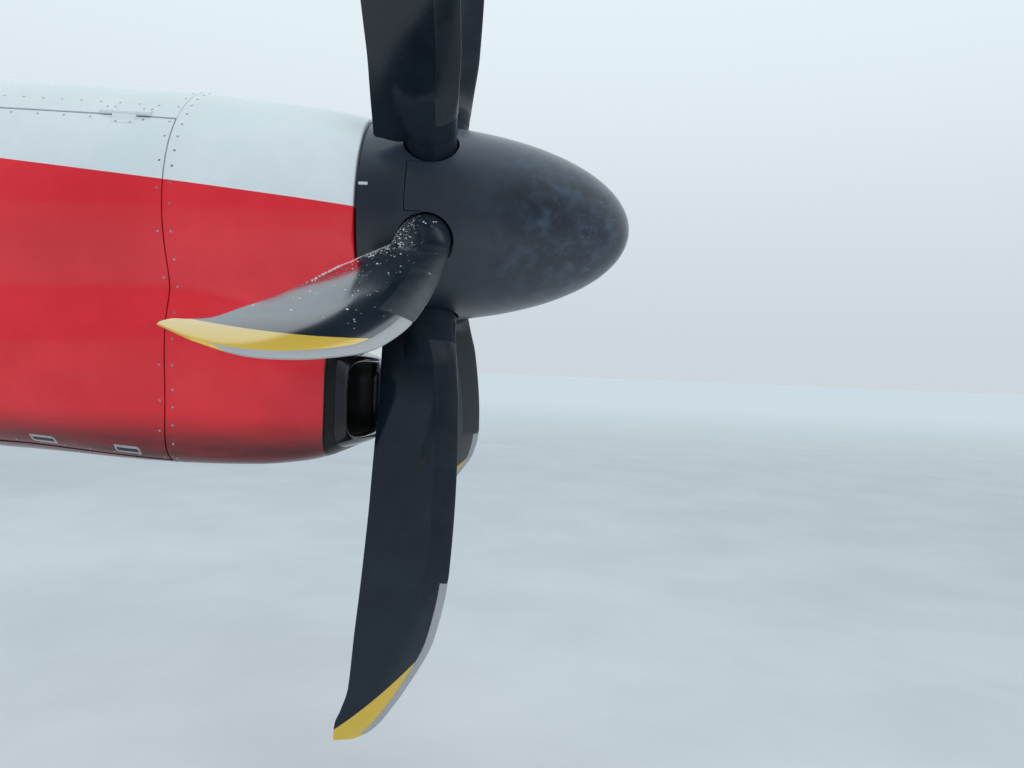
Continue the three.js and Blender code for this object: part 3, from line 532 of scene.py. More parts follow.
def spinner_tree(material, ring):
    """The spinner's wall over a length, cut by blade sockets, and by slots or the gaps between horns."""
    lengths = dict.fromkeys(("From", "To", "Seam", "Slot_half_width", "Slot_end", "Socket"), "Float")
    tree = ShapeTree("spinner_wall", Rows="Int", Segments="Int", **lengths)
    size, m = tree.size, tree.math
    rows = size("Rows")
    along, around = m("MULTIPLY_ADD", rows, 2.0, 1.0), m("ADD", size("Segments"), 1.0)
    square = {"Size X": 1.0, "Size Y": 1.0, "Vertices X": along, "Vertices Y": around}
    grid = tree.node("GeometryNodeMeshGrid", square)
    place = tree.node("ShaderNodeSeparateXYZ", {0: tree.node("GeometryNodeInputPosition").outputs[0]})
    row = m("ROUND", m("MULTIPLY", m("ADD", place.outputs["X"], 0.5), m("MULTIPLY", rows, 2.0)))
    turn = m("MULTIPLY", m("ADD", place.outputs["Y"], 0.5), 2 * math.pi)
    last = m("SUBTRACT", rows, 1.0)
    past_outer = m("GREATER_THAN", row, m("ADD", last, 0.5))
    before_close = m("LESS_THAN", row, m("SUBTRACT", m("MULTIPLY", rows, 2.0), 0.5))
    inside = m("MULTIPLY", past_outer, before_close)
    back = m("SUBTRACT", m("MULTIPLY_ADD", last, 2.0, 1.0), row)
    share = m("DIVIDE", m("MAXIMUM", m("MINIMUM", row, back), 0.0), last)
    eased = share if ring else m("SINE", m("MULTIPLY", share, math.pi / 2))
    ahead = m("MULTIPLY_ADD", m("SUBTRACT", size("To"), size("From")), eased, size("From"))
    length = SPINNER_AHEAD + SPINNER_RIM_AFT
    u = m("MINIMUM", m("DIVIDE", m("ADD", ahead, SPINNER_RIM_AFT), length), 1.0)
    root = m("SQRT", m("MAXIMUM", m("SUBTRACT", 1.0, m("POWER", u, SPINNER_POWER)), 0.0))
    radius = m("MULTIPLY", root, SPINNER_RIM_RADIUS)
    radius = m("MULTIPLY", radius, m("MULTIPLY_ADD", inside, -SPINNER_WALL / SPINNER_RIM_RADIUS, 1.0))
    drawn_in = m("MULTIPLY", m("ADD", ahead, SPINNER_RIM_AFT), m("MULTIPLY", inside, SPINNER_WALL / length))
    x = m("ADD", m("SUBTRACT", ahead, drawn_in), PROP_X)
    point = tree.vector(x, m("MULTIPLY", radius, m("SINE", turn)), m("MULTIPLY", radius, m("COSINE", turn)))
    bent = tree.node("GeometryNodeSetPosition", {"Geometry": grid.outputs["Mesh"], "Position": point})
    wall = tree.node("GeometryNodeMergeByDistance", {"Geometry": bent.outputs[0], "Distance": 1e-6})

    reach = 0.260  # of a cutter along the blade's axis
    middle = 0.370
    socket = tree.moved(tree.cylinder(128, size("Socket"), reach).outputs["Mesh"], (PROP_X, 0.0, middle))
    if ring:
        # A three-sided prism stands between each two blades, and what it leaves are the horns
        prism_radius = 0.260
        apex = m("DIVIDE", size("Slot half width"), math.sin(math.pi / BLADE_COUNT))
        start, end = m("MULTIPLY", size("Seam"), -1.0), 0.050
        prism = tree.cylinder(3, prism_radius, m("SUBTRACT", end, start))
        along = m("MULTIPLY_ADD", m("ADD", start, end), 0.5, PROP_X)
        centre = tree.vector(along, 0.0, m("ADD", apex, prism_radius))
        other = tree.moved(prism.outputs["Mesh"], centre, (0.0, math.pi / 2, 0.0))
    else:
        start, end = m("SUBTRACT", m("MULTIPLY", size("Seam"), -1.0), 0.020), size("Slot end")
        sides = tree.vector(m("SUBTRACT", end, start), m("MULTIPLY", size("Slot half width"), 2.0), reach)
        box = tree.node("GeometryNodeMeshCube", {"Size": sides})
        centre = tree.vector(m("MULTIPLY_ADD", m("ADD", start, end), 0.5, PROP_X), 0.0, middle)
        other = tree.moved(box.outputs["Mesh"], centre)
    step = 2 * math.pi / BLADE_COUNT
    left = wall.outputs[0]
    for cutter, offset in ((socket, 0.0), (other, step / 2 if ring else 0.0)):
        stacked = {"Count": BLADE_COUNT, "Offset": (0.0, 0.0, 0.0)}
        spots = tree.node("GeometryNodeMeshLine", stacked, mode="OFFSET")
        index = tree.node("GeometryNodeInputIndex").outputs[0]
        angle = m("MULTIPLY_ADD", index, step, math.radians(BLADE_PHASE) + offset)
        placed = {"Points": spots.outputs["Mesh"], "Instance": cutter, "Rotation": tree.vector(angle)}
        around = tree.node("GeometryNodeInstanceOnPoints", placed)
        tools = tree.node("GeometryNodeRealizeInstances", {"Geometry": around.outputs[0]})
        meshes = {"Mesh 1": left, "Mesh 2": tools.outputs[0]}
        cut = tree.node("GeometryNodeMeshBoolean", meshes, operation="DIFFERENCE", solver="EXACT")
        left = cut.outputs["Mesh"]
    tree.close(left, material)
    return tree


# Materials
class Finish:
    """Builds one node material. Patterns read Object coordinates, or the blade's surface map."""

    def __init__(self, name, **sockets):
        self.material = bpy.data.materials.new(name)
        self.material.use_nodes = True
        self.tree = self.material.node_tree
        self.shader = self.tree.nodes["Principled BSDF"]
        for key, value in sockets.items():
            self.shader.inputs[key.replace("_", " ")].default_value = value
        self.place = self.tree.nodes.new("ShaderNodeTexCoord")

    def node(self, kind, **settings):
        made = self.tree.nodes.new(kind)
        for key, value in settings.items():
            setattr(made, key, value)
        return made

    def link(self, source, target):
        self.tree.links.new(source, target)
        return source

    def feed(self, made, values):
        for key, value in values.items():
            if isinstance(value, bpy.types.NodeSocket):
                self.link(value, made.inputs[key])
            else:
                made.inputs[key].default_value = value
        return made

    def mapping(self, scale):
        made = self.node("ShaderNodeMapping")
        self.link(self.place.outputs["Object"], made.inputs["Vector"])
        made.inputs["Scale"].default_value = scale
        return made.outputs["Vector"]

    def noise(self, scale, detail=4.0, roughness=0.6, vector=None):
        made = self.node("ShaderNodeTexNoise")
        self.feed(made, {"Scale": scale, "Detail": detail, "Roughness": roughness})
        self.link(vector or self.place.outputs["Object"], made.inputs["Vector"])
        return made.outputs["Fac"]

    def specks(self, scale, small, large, patches, thin, thick):
        """Small round spots, in patches that a broader noise picks out."""
        cells = self.node("ShaderNodeTexVoronoi")
        self.feed(cells, {"Scale": scale, "Randomness": 1.0})
        self.link(self.place.outputs["Object"], cells.inputs["Vector"])
        spots = self.ramp(cells.outputs["Distance"], small, large, 1.0, 0.0)
        return self.math("MULTIPLY", spots, self.ramp(self.noise(patches, 3.0), thin, thick))

    def ramp(self, value, low, high, out_low=0.0, out_high=1.0):
        made = self.node("ShaderNodeMapRange", interpolation_type="SMOOTHSTEP")
        limits = {"From Min": low, "From Max": high, "To Min": out_low, "To Max": out_high}
        self.feed(made, {"Value": value, **limits})
        return made.outputs["Result"]

    def math(self, operation, *values):
        made = self.node("ShaderNodeMath", operation=operation)
        self.feed(made, dict(enumerate(values)))
        return made.outputs[0]

    def mix(self, share, a, b):
        made = self.node("ShaderNodeMix", data_type="RGBA")
        for key, value in ((0, share), (6, a), (7, b)):
            if isinstance(value, bpy.types.NodeSocket):
                self.link(value, made.inputs[key])
            else:
                made.inputs[key].default_value = (*value, 1.0) if key else value
        return made.outputs[2]

    def axis(self, name, vector=None):
        made = self.node("ShaderNodeSeparateXYZ")
        self.link(vector or self.place.outputs["Object"], made.inputs[0])
        return made.outputs[name]

    def colour(self, source):
        self.link(source, self.shader.inputs["Base Color"])
        return self

    def roughness(self, source):
        self.link(source, self.shader.inputs["Roughness"])
        return self

    def bump(self, height, strength=0.3, distance=0.001):
        made = self.node("ShaderNodeBump")
        self.feed(made, {"Strength": strength, "Distance": distance, "Height": height})
        self.link(made.outputs["Normal"], self.shader.inputs["Normal"])
        return self


def cowl_paint():
    """White above and red below, meeting along a line that climbs slowly aft. Painted shade darkens the
    chin's underside and makes the web's front face over the mouth near-black.
    """
    f = Finish("cowl_paint", IOR=1.42, Coat_Weight=0.4, Coat_Roughness=0.06)
    x, z = f.axis("X"), f.axis("Z")
    line = f.math("MULTIPLY_ADD", x, PAINT_LINE_SLOPE, PAINT_LINE_HEIGHT)
    above = f.ramp(f.math("SUBTRACT", z, line), -0.0012, 0.0012)
    haze = f.noise(2.2, 5.0, 0.6)
    white = f.mix(f.ramp(haze, 0.35, 0.75), (0.72, 0.78, 0.795), (0.80, 0.85, 0.86))
    red = f.mix(f.ramp(haze, 0.3, 0.75), (0.74, 0.018, 0.029), (0.87, 0.030, 0.044))
    base = f.mix(above, red, white)
    streak = f.noise(9.0, 6.0, 0.7, f.mapping((0.25, 2.0, 2.0)))
    base = f.mix(f.ramp(streak, 0.60, 0.85, 0.0, 0.14), base, (0.20, 0.15, 0.14))
    # painted shade: the chin's underside gets darker towards the bottom, broken up by the streak noise, and
    # the same mask makes the paint rougher there
    underside_painted_shade = f.math("MULTIPLY", f.ramp(z, -0.965, -0.800, 0.95, 0.0), f.ramp(streak, 0.25, 0.60, 0.75, 1.0))
    base = f.mix(underside_painted_shade, base, (0.050, 0.008, 0.009))
    # painted shade: near-black on the web's front face above the collar and on the chin's front rim, standing
    # in for the shade in that recess
    front, low = f.ramp(x, PROP_X - 0.3705, PROP_X - 0.3695), f.ramp(z, -0.440, -0.4385, 1.0, 0.0)
    base = f.mix(f.math("MULTIPLY", front, low), base, (0.010, 0.010, 0.011))
    f.colour(base)
    f.roughness(f.math("MULTIPLY_ADD", underside_painted_shade, 0.30, f.ramp(streak, 0.3, 0.8, 0.13, 0.28)))
    f.bump(f.noise(3.0, 2.0, 0.5), 0.05, 0.004)
    return f.material


def spinner_paint():
    """Charcoal, with pale chips towards the nose and a painted sky reflection that lightens the top. The
    short white mark on the rear ring is a piece of its own.
    """
    f = Finish("spinner_paint", IOR=1.35, Coat_Weight=0.85, Coat_IOR=1.45, Coat_Roughness=0.30)
    haze = f.noise(3.0, 6.0, 0.65)
    base = f.mix(f.ramp(haze, 0.3, 0.75), (0.008, 0.013, 0.022), (0.018, 0.025, 0.039))
    x = f.axis("X")
    ahead = f.ramp(x, PROP_X + 0.35, PROP_X + 0.75)
    chips = f.specks(75.0, 0.10, 0.15, 14.0, 0.56, 0.62)
    base = f.mix(f.math("MULTIPLY", chips, ahead), base, (0.52, 0.55, 0.58))
    dust = f.specks(150.0, 0.10, 0.17, 9.0, 0.54, 0.74)
    base = f.mix(f.math("MULTIPLY", dust, 0.25), base, (0.32, 0.34, 0.36))
    bloom = f.ramp(f.noise(16.0, 3.0, 0.6), 0.36, 0.76, 0.0, 0.46)
    mottle = f.math("MULTIPLY", bloom, f.ramp(x, PROP_X + 0.10, PROP_X + 0.50))
    base = f.mix(mottle, base, (0.075, 0.120, 0.180))
    # painted reflection: lighter and bluer towards the top, standing in for the sky's sheen on the upper side
    painted_sky_sheen = f.math("MULTIPLY", f.ramp(f.axis("Z"), 0.06, 0.38, 0.0, 0.55), f.ramp(haze, 0.2, 0.7, 0.6, 1.0))
    f.colour(f.mix(painted_sky_sheen, base, (0.085, 0.125, 0.175)))
    f.roughness(f.ramp(haze, 0.3, 0.8, 0.38, 0.50))
    f.bump(f.noise(420.0, 2.0, 0.5), 0.06, 0.0006)
    return f.material


def blade_paint():
    """Near-black composite with a yellow tip outboard of a slanting line.

    The surface map holds radius and chord place. The gloss fades towards the root.
    """
    f = Finish("blade_paint", IOR=1.22, Coat_IOR=1.5, Coat_Roughness=0.12)
    haze = f.noise(4.0, 6.0, 0.65)
    base = f.mix(f.ramp(haze, 0.3, 0.75), (0.007, 0.012, 0.019), (0.014, 0.022, 0.033))
    r = f.axis("X", f.place.outputs["UV"])
    c = f.axis("Y", f.place.outputs["UV"])
    behind = f.math("SUBTRACT", MAP_SHIFT + TIP_LINE_PLACE, c)
    slope = f.math("MULTIPLY_ADD", behind, TIP_LINE_BEND, TIP_LINE_SLOPE)
    line = f.math("MULTIPLY_ADD", behind, slope, TIP_LINE_RADIUS)
    tip = f.ramp(f.math("SUBTRACT", r, line), -0.0010, 0.0010)
    wear = f.ramp(f.noise(60.0, 6.0, 0.7), 0.60, 0.70, 0.0, 0.5)
    yellow = f.mix(wear, (0.68, 0.46, 0.07), (0.54, 0.38, 0.10))
    base = f.mix(tip, base, yellow)
    dust = f.specks(120.0, 0.08, 0.15, 7.0, 0.52, 0.72)
    base = f.mix(f.math("MULTIPLY", dust, 0.25), base, (0.33, 0.35, 0.37))
    f.colour(base)
    f.link(f.ramp(r, 0.56, 0.78), f.shader.inputs["Coat Weight"])
    matt_root = f.ramp(r, 0.46, 0.70, 0.30, 0.0)
    f.roughness(f.math("ADD", f.ramp(haze, 0.3, 0.8, 0.13, 0.24), matt_root))
    f.bump(f.noise(26.0, 3.0, 0.5), 0.05, 0.002)
    return f.material


def rubber(name, low, high, rough, coat=0.1, coat_rough=0.3):
    f = Finish(name, IOR=1.4, Coat_Weight=coat, Coat_IOR=1.4, Coat_Roughness=coat_rough)
    haze = f.noise(14.0, 5.0, 0.65)
    f.colour(f.mix(f.ramp(haze, 0.3, 0.75), low, high))
    f.roughness(f.ramp(haze, 0.3, 0.8, rough - 0.05, rough + 0.12))
    f.bump(f.noise(200.0, 2.0, 0.5), 0.05, 0.0003)
    return f.material


def metal(name, low, high, rough, grain=(1, 1, 1), scale=60.0, metallic=1.0):
    f = Finish(name, Metallic=metallic)
    streak = f.noise(scale, 6.0, 0.7, f.mapping(grain))
    f.colour(f.mix(f.ramp(streak, 0.3, 0.75), low, high))
    f.roughness(f.ramp(streak, 0.3, 0.8, rough - 0.06, rough + 0.14))
    f.bump(f.noise(scale * 3, 2.0, 0.5), 0.05, 0.0002)
    return f.material


def plain_paint(name, low, high, rough_low, rough_high, grain=300.0):
    f = Finish(name)
    haze = f.noise(6.0, 5.0, 0.65)
    f.colour(f.mix(f.ramp(haze, 0.3, 0.75), low, high))
    f.roughness(f.ramp(haze, 0.3, 0.8, rough_low, rough_high))
    f.bump(f.noise(grain, 3.0), 0.12, 0.0005)
    return f.material


def water():
    f = Finish("water_drops", IOR=1.33, Coat_Weight=0.5, Coat_Roughness=0.03)
    haze = f.noise(90.0, 3.0)
    f.colour(f.mix(f.ramp(haze, 0.3, 0.7), (0.74, 0.78, 0.81), (0.90, 0.92, 0.94)))
    f.roughness(f.ramp(haze, 0.3, 0.7, 0.08, 0.3))
    return f.material


PAINT = cowl_paint()
SPINNER = spinner_paint()
BLADE = blade_paint()
BOOT = rubber("deicing_rubber", (0.007, 0.012, 0.018), (0.014, 0.020, 0.028), 0.36, 0.18, 0.22)
LIP = rubber("lip_rubber", (0.004, 0.004, 0.006), (0.008, 0.009, 0.012), 0.16, 0.5, 0.08)
COLLAR = rubber("collar_paint", (0.003, 0.004, 0.004), (0.007, 0.008, 0.008), 0.42, 0.0)
SHEATH = metal("sheath_metal", (0.38, 0.39, 0.40), (0.44, 0.45, 0.46), 0.42, (0.4, 0.4, 0.4), 9.0, 0.35)
STEEL = metal("brushed_steel", (0.40, 0.40, 0.41), (0.55, 0.55, 0.56), 0.35)
HOT_STEEL = metal("heat_tinted_steel", (0.26, 0.21, 0.17), (0.44, 0.39, 0.34), 0.42, (1.0, 3.0, 3.0), 12.0)
CASTING = metal("engine_casing", (0.22, 0.22, 0.225), (0.34, 0.34, 0.345), 0.5, scale=30.0)
HUB = metal("hub_metal", (0.38, 0.39, 0.40), (0.52, 0.53, 0.54), 0.38)
PRIMER = plain_paint("green_primer", (0.16, 0.20, 0.075), (0.22, 0.26, 0.11), 0.50, 0.68)
DUCTING = plain_paint("duct_composite", (0.012, 0.013, 0.013), (0.024, 0.026, 0.025), 0.30, 0.48, 220.0)
BLACK_BOX = plain_paint("black_enamel", (0.018, 0.018, 0.020), (0.035, 0.035, 0.038), 0.38, 0.55, 200.0)
MARK = plain_paint("white_mark", (0.55, 0.58, 0.60), (0.70, 0.73, 0.75), 0.35, 0.5)
WATER = water()
SCREW_TREE = fastener_tree(STEEL, 12)
BOLT_TREE = fastener_tree(STEEL, 6)


# Nacelle skins
def skin_panel(name, aft_from, aft_to, place_from, place_to, steps_around):
    """A curved panel with softened edges."""
    edge = 0.0016
    step = edge / AROUND
    aft = np.linspace(aft_from, aft_to, 60)
    aft = np.concatenate([[aft_from], [aft_from + edge], aft[1:-1], [aft_to - edge], [aft_to]])
    place = np.linspace(place_from, place_to, steps_around)
    place = np.concatenate([[place_from], [place_from + step], place[1:-1], [place_to - step], [place_to]])
    a, p = np.meshgrid(aft, place, indexing="ij")
    drop = np.zeros_like(a)
    drop[0], drop[-1], drop[:, 0], drop[:, -1] = edge, edge, edge, edge
    return shell(name, section(a, p, drop), section(a, p, PANEL))


def line_inside(piece):
    """Primer on the inner faces of a skin."""
    mesh = piece.data
    centres = np.zeros(3 * len(mesh.polygons))
    mesh.polygons.foreach_get("center", centres)
    x, y, z = centres.reshape(-1, 3).T
    aft = PROP_X - x
    depth = -section_distance(smooth_table(NACELLE, aft), chin_power(aft), y, z)
    mesh.materials.append(PRIMER)
    mesh.polygons.foreach_set("material_index", (depth > 0.9 * PANEL).astype(np.int32))


def upper_radius(aft):
    """The radius of the round upper body."""
    return smooth_table(NACELLE, aft)[0].item()


def nose_cowl():
    """One skin from the spinner's gap to the doors. Its chin starts further aft, at the collar."""
    around = np.linspace(0, 1, 361)[:-1]
    u = np.minimum(around, 1 - around)
    chin = ease(u, 0.272, 0.300)  # share of the front edge that belongs to the chin
    start = COWL_FRONT + (COLLAR_AFT - COWL_FRONT) * chin
    share = np.concatenate([[0.0, 0.0015, 0.005, 0.011], np.linspace(0.02, 1, 56)])
    drop = np.array([0.0050, 0.0024, 0.0006, 0.0] + [0.0] * 55 + [0.0016])
    aft = start + share[:, None] * (NOSE_COWL_END - 0.0002 - start)
    d = np.broadcast_to(drop[:, None], aft.shape)
    p = np.broadcast_to(around, aft.shape)
    skin = shell("nose_cowl_skin", section(aft, p, d), section(aft, p, np.full_like(aft, PANEL)), wrap=True)
    line_inside(finish_piece(skin, "nacelle", "paint", PAINT, "nose_cowl"))

    outer = [(aft, upper_radius(aft) - 0.0035) for aft in (0.2740, 0.290, 0.310, 0.330, 0.350, 0.366)]
    outer = [(0.2718, upper_radius(COWL_FRONT) - 0.0062), *outer]
    inner = [(0.366, 0.400), (0.300, 0.398), (0.2955, 0.394)]
    inner += [(0.2955, SHAFT_HOLE_RADIUS), (0.2720, SHAFT_HOLE_RADIUS), (0.2718, 0.4070)]
    ring = lathe("nose_cowl_ring", from_aft(outer + inner), 240)
    finish_piece(ring, "nacelle", "paint", PAINT)

    outline = section(np.full(240, COLLAR_AFT + 0.003), np.linspace(0, 1, 241)[:-1], 0.003)
    shaft_hole = circle(0.0, SHAFT_HOLE_RADIUS, points=64)
    duct_hole = oval(*DUCT_HOLE, power=5.4, points=96)
    web = plate("nose_cowl_web", [outline, shaft_hole, duct_hole], PROP_X - WEB_FRONT, PROP_X - WEB_REAR)
    finish_piece(web, "nacelle", "paint", PAINT)
    web.data.materials.append(PRIMER)
    for face in web.data.polygons:
        face.material_index = int(face.normal.x < -0.5)

    aft, place = np.meshgrid([0.932], np.linspace(0, 1, 61)[:-1])
    aft, place = aft.ravel(), place.ravel()
    places, facings = section(aft, place), section_facing(aft, place)
    place_fasteners(
        "nose_cowl_screws", SCREW_TREE, places, facings, 0.0048, 0.0009, "nacelle", "steel", STEEL
    )


def intake():
    """Black collar, rubber lip and the duct behind them."""
    share = np.array([0.0, 0.012, 0.04, 0.2, 0.4, 0.6, 0.8, 0.96, 0.988, 1.0])
    drop = np.array([0.0018, 0.0004, 0.0, 0.0, 0.0, 0.0, 0.0, 0.0, 0.0005, 0.0018])
    front = np.array([BOOT_AFT + 0.0006, *SEAM_OUTSIDE, LIP_SWEEP])
    rear_aft = COLLAR_AFT - 0.0012
    values = [v.item() for v in smooth_table(NACELLE, rear_aft)]
    rear = np.array([rear_aft, values[1], values[2], values[3], 0.0])
    swell = 4 * share * (1 - share)  # a slight crown along the collar
    loops = []
    for s, d, w in zip(share, drop, swell):
        aft, half_width, top, bottom, sweep = front + (rear - front) * s
        grow = 0.0015 * w - d
        loops.append(oval(aft, half_width + grow, top + grow, bottom - grow, sweep))
    for s in share[::-1]:
        aft, *_, sweep = front + (rear - front) * s
        loops.append(oval(aft, *COLLAR_BORE, sweep))
    finish_piece(loft("chin_collar_band", loops, True), "nacelle", "rubber", COLLAR, "chin_collar")

    lip_loops = [oval(*row) for row in smooth_rows(LIP_PROFILE, 6)]
    lip = loft("intake_lip_boot", lip_loops, True, 50)
    finish_piece(lip, "nacelle", "rubber", LIP, *[f"intake_lip_{wall}" for wall in WALLS])

    rows, bore = [], []
    for aft in np.linspace(BOOT_AFT + 0.0006, 1.150, 48):
        half_width, top, bottom, power = [v.item() for v in smooth_table(DUCT, aft)]
        mouth = float(1 - ease(aft, BOOT_AFT, 0.400))
        wall = DUCT_WALLS[1] + (DUCT_WALLS[0] - DUCT_WALLS[1]) * mouth
        rows.append(oval(aft, half_width, top, bottom, LIP_SWEEP * mouth, power))
        bore.append(oval(aft, half_width - wall, top - wall, bottom + wall, LIP_SWEEP * mouth, power))
    duct = shell("intake_throat_duct", np.array(rows), np.array(bore), wrap=True)
    finish_piece(duct, "nacelle", "duct", DUCTING, *[f"intake_duct_{wall}" for wall in WALLS])


# Cowl doors and panels
def hinge_line(side):
    """The two ends of a door's hinge pin line, above the skin at the door's upper edge."""
    ends = []
    for aft in (NOSE_COWL_END, DOOR_END):
        point = section(aft, side * DOOR_TOP)
        outward = np.array([0.0, point[1], point[2]])
        ends.append(point + HINGE_RISE * outward / np.linalg.norm(outward))
    return ends


def hinge_knuckles(name, side, spans, towards_top, body):
    """Rolled knuckles on a hinge line, with the curved leaves that carry them."""
    a, b = hinge_line(side)
    length = np.linalg.norm(b - a)
    along = (b - a) / length
    reach = -0.012 if towards_top else 0.012
    screws = []
    for k, share in enumerate(KNUCKLE_STATIONS):
        centre = a + along * share * length
        for j, (start, end) in enumerate(spans):
            p, q = centre + along * start, centre + along * end
            edge = 0.0014
            stations = [p, p + along * edge, q - along * edge, q]
            radii = [KNUCKLE_RADIUS - edge, KNUCKLE_RADIUS, KNUCKLE_RADIUS, KNUCKLE_RADIUS - edge]
            finish_piece(tube(f"{name}_roll_{k}{j}", stations, radii, 24, 1), body, "paint", PAINT)
            loops = []
            for point in np.linspace(p, q, 5):
                aft = PROP_X - point[0]
                turn = side * (DOOR_TOP + reach * np.linspace(0.12, 1.0, 7))
                lift = HINGE_RISE * 0.80 * (1 - ease(np.linspace(0, 1, 7), 0.0, 0.75)) + 0.0018
                top = section(np.full(7, aft), turn, -lift)
                low = section(np.full(7, aft), turn, 0.004)
                loops.append(np.concatenate([top, low[::-1]]))
            finish_piece(loft(f"{name}_leaf_{k}{j}", loops), body, "paint", PAINT)
            screws += [(PROP_X - (p + (q - p) * t)[0], side * (DOOR_TOP + 0.9 * reach)) for t in (0.2, 0.8)]
    aft, place = np.array(screws).T
    places, facings = section(aft, place, -0.0018), section_facing(aft, place)
    place_fasteners(f"{name}_screws", SCREW_TREE, places, facings, 0.0042, 0.0012, body, "steel", STEEL)


def edge_screws(name, aft_from, aft_to, place_from, place_to, pitch, inset, body):
    """Flush screws along the four edges of a panel."""
    spots = []
    for aft in np.arange(aft_from + inset, aft_to - inset + 1e-6, pitch):
        spots += [(aft, place_from + inset / AROUND), (aft, place_to - inset / AROUND)]
    for place in np.arange(place_from + (inset + pitch) / AROUND, place_to - inset / AROUND, pitch / AROUND):
        spots += [(aft_from + inset, place), (aft_to - inset, place)]
    aft, place = np.array(spots).T
    places, facings = section(aft, place), section_facing(aft, place)
    place_fasteners(name, SCREW_TREE, places, facings, 0.0045, 0.0008, body, "steel", STEEL)


def latch(name, aft, place, body):
    """A flush over-centre latch: a plate with a handle set in its frame."""
    half_along, half_around = 0.055, 0.0062
    parts = (("frame", 1.0, 1.0, 0.0010, STEEL), ("handle", 0.86, 0.45, 0.0028, BLACK_BOX))
    for part, grow_along, grow_around, lift, material in parts:
        a, p = np.meshgrid(
            np.linspace(aft - half_along * grow_along, aft + half_along * grow_along, 9),
            np.linspace(place - half_around * grow_around, place + half_around * grow_around, 5),
            indexing="ij",
        )
        drop = np.full_like(a, -lift)
        drop[0], drop[-1], drop[:, 0], drop[:, -1] = 0.0005, 0.0005, 0.0005, 0.0005
        piece = shell(f"{name}_{part}", section(a, p, drop), section(a, p, 0.004))
        finish_piece(piece, body, "steel", material)


def cowl_panels():
    for name, side in (("left", 1), ("right", -1)):
        body = f"door_{name}"
        low_place, high_place = sorted((side * (DOOR_TOP + 0.0015), side * (DOOR_BOTTOM - 0.0015)))
        front, rear = NOSE_COWL_END + DOOR_GAP, DOOR_END - DOOR_GAP
        skin = skin_panel(f"cowl_door_{name}_skin", front, rear, low_place, high_place, 110)
        line_inside(finish_piece(skin, body, "paint", PAINT, f"cowl_door_{name}"))
        hinge_knuckles(f"hinge_{name}_door", side, [(-DOOR_HALF_LENGTH, DOOR_HALF_LENGTH)], False, body)
        fixed = [(-FIXED_HALF_LENGTH, -DOOR_HALF_LENGTH - GAP), (DOOR_HALF_LENGTH + GAP, FIXED_HALF_LENGTH)]
        hinge_knuckles(f"hinge_{name}_fixed", side, fixed, True, "nacelle")
        for k, aft in enumerate((1.12, 1.46, 1.80, 2.14, 2.42)):
            latch(f"latch_{name}_{k + 1}", aft, side * (DOOR_BOTTOM - 0.0115), body)
        door_ribs(name, side, body)
        edge_screws(f"cowl_door_{name}_screws", front, rear, low_place, high_place, 0.100, 0.016, body)
    front, rear = NOSE_COWL_END + 0.0015, DOOR_END - 0.0015
    top_half, low_half = DOOR_TOP - 0.0005, 0.5 - DOOR_BOTTOM - 0.0015
    top = skin_panel("upper_cowl_skin", front, rear, -top_half, top_half, 70)
    line_inside(finish_piece(top, "nacelle", "paint", PAINT, "upper_cowl"))
    screwed = top_half - 0.015
    edge_screws("upper_cowl_screws", front, rear, -screwed, screwed, 0.075, 0.016, "nacelle")
    low = skin_panel("lower_cowl_skin", front, rear, 0.5 - low_half, 0.5 + low_half, 60)
    line_inside(finish_piece(low, "nacelle", "paint", PAINT, "lower_cowl"))
    edge_screws("lower_cowl_screws", front, rear, 0.5 - low_half, 0.5 + low_half, 0.075, 0.016, "nacelle")
    drain_mast()


def door_ribs(name, side, body):
    """Hat-section stiffeners on a door's inner face."""
    profile = [(-0.022, 0.0), (-0.013, 0.0), (-0.009, 0.007), (0.009, 0.007), (0.013, 0.0), (0.022, 0.0)]
    profile += [(0.022, -0.002), (-0.022, -0.002)]
    for k, aft in enumerate((1.15, 1.42, 1.62, 1.98, 2.25)):
        loops = [
            [section(aft + along, place, PANEL + depth) for along, depth in profile]
            for place in side * np.linspace(DOOR_TOP + 0.03, DOOR_BOTTOM - 0.03, 60)
        ]
        finish_piece(loft(f"door_{name}_rib_{k + 1}", loops), body, "primer", PRIMER)


def drain_mast():
    """A swept fin under the lower cowl that sheds drained fluids."""
    aft = 2.250
    skin_z = section(aft, 0.5)[2]
    outline = [(math.cos(t), math.sin(t)) for t in turns(32)]
    sizes = [  # drop below the skin, half length, half width, sweep
        (-0.006, 0.074, 0.013, 0.0),
        (0.004, 0.071, 0.0105, 0.0),
        (0.060, 0.058, 0.010, 0.016),
        (0.120, 0.046, 0.009, 0.032),
        (0.147, 0.041, 0.008, 0.039),
        (0.150, 0.038, 0.006, 0.040),
    ]
    loops = [
        [(PROP_X - aft + half_length * c - sweep, half_width * s, skin_z - drop) for c, s in outline]
        for drop, half_length, half_width, sweep in sizes
    ]
    finish_piece(loft("drain_mast_fin", loops), "nacelle", "paint", PAINT)


# Spinner
def spinner_radius(ahead):
    u = np.clip((np.asarray(ahead, float) + SPINNER_RIM_AFT) / (SPINNER_AHEAD + SPINNER_RIM_AFT), 0, 1)
    return SPINNER_RIM_RADIUS * np.sqrt(np.maximum(1 - u**SPINNER_POWER, 0))


def spinner_facing(point):
    """The outward direction of the spinner's surface, from its formula."""
    length = SPINNER_AHEAD + SPINNER_RIM_AFT
    u = np.clip((point[..., 0] - PROP_X + SPINNER_RIM_AFT) / length, 1e-6, 1)
    radius = np.hypot(point[..., 1], point[..., 2])
    root = np.sqrt(np.maximum(1 - u**SPINNER_POWER, 1e-9))
    slope = SPINNER_RIM_RADIUS * SPINNER_POWER * u ** (SPINNER_POWER - 1) / (2 * length * root)
    safe = np.maximum(radius, 1e-9)
    out = np.stack([slope, point[..., 1] / safe, point[..., 2] / safe], -1)
    return out / np.linalg.norm(out, axis=-1, keepdims=True)


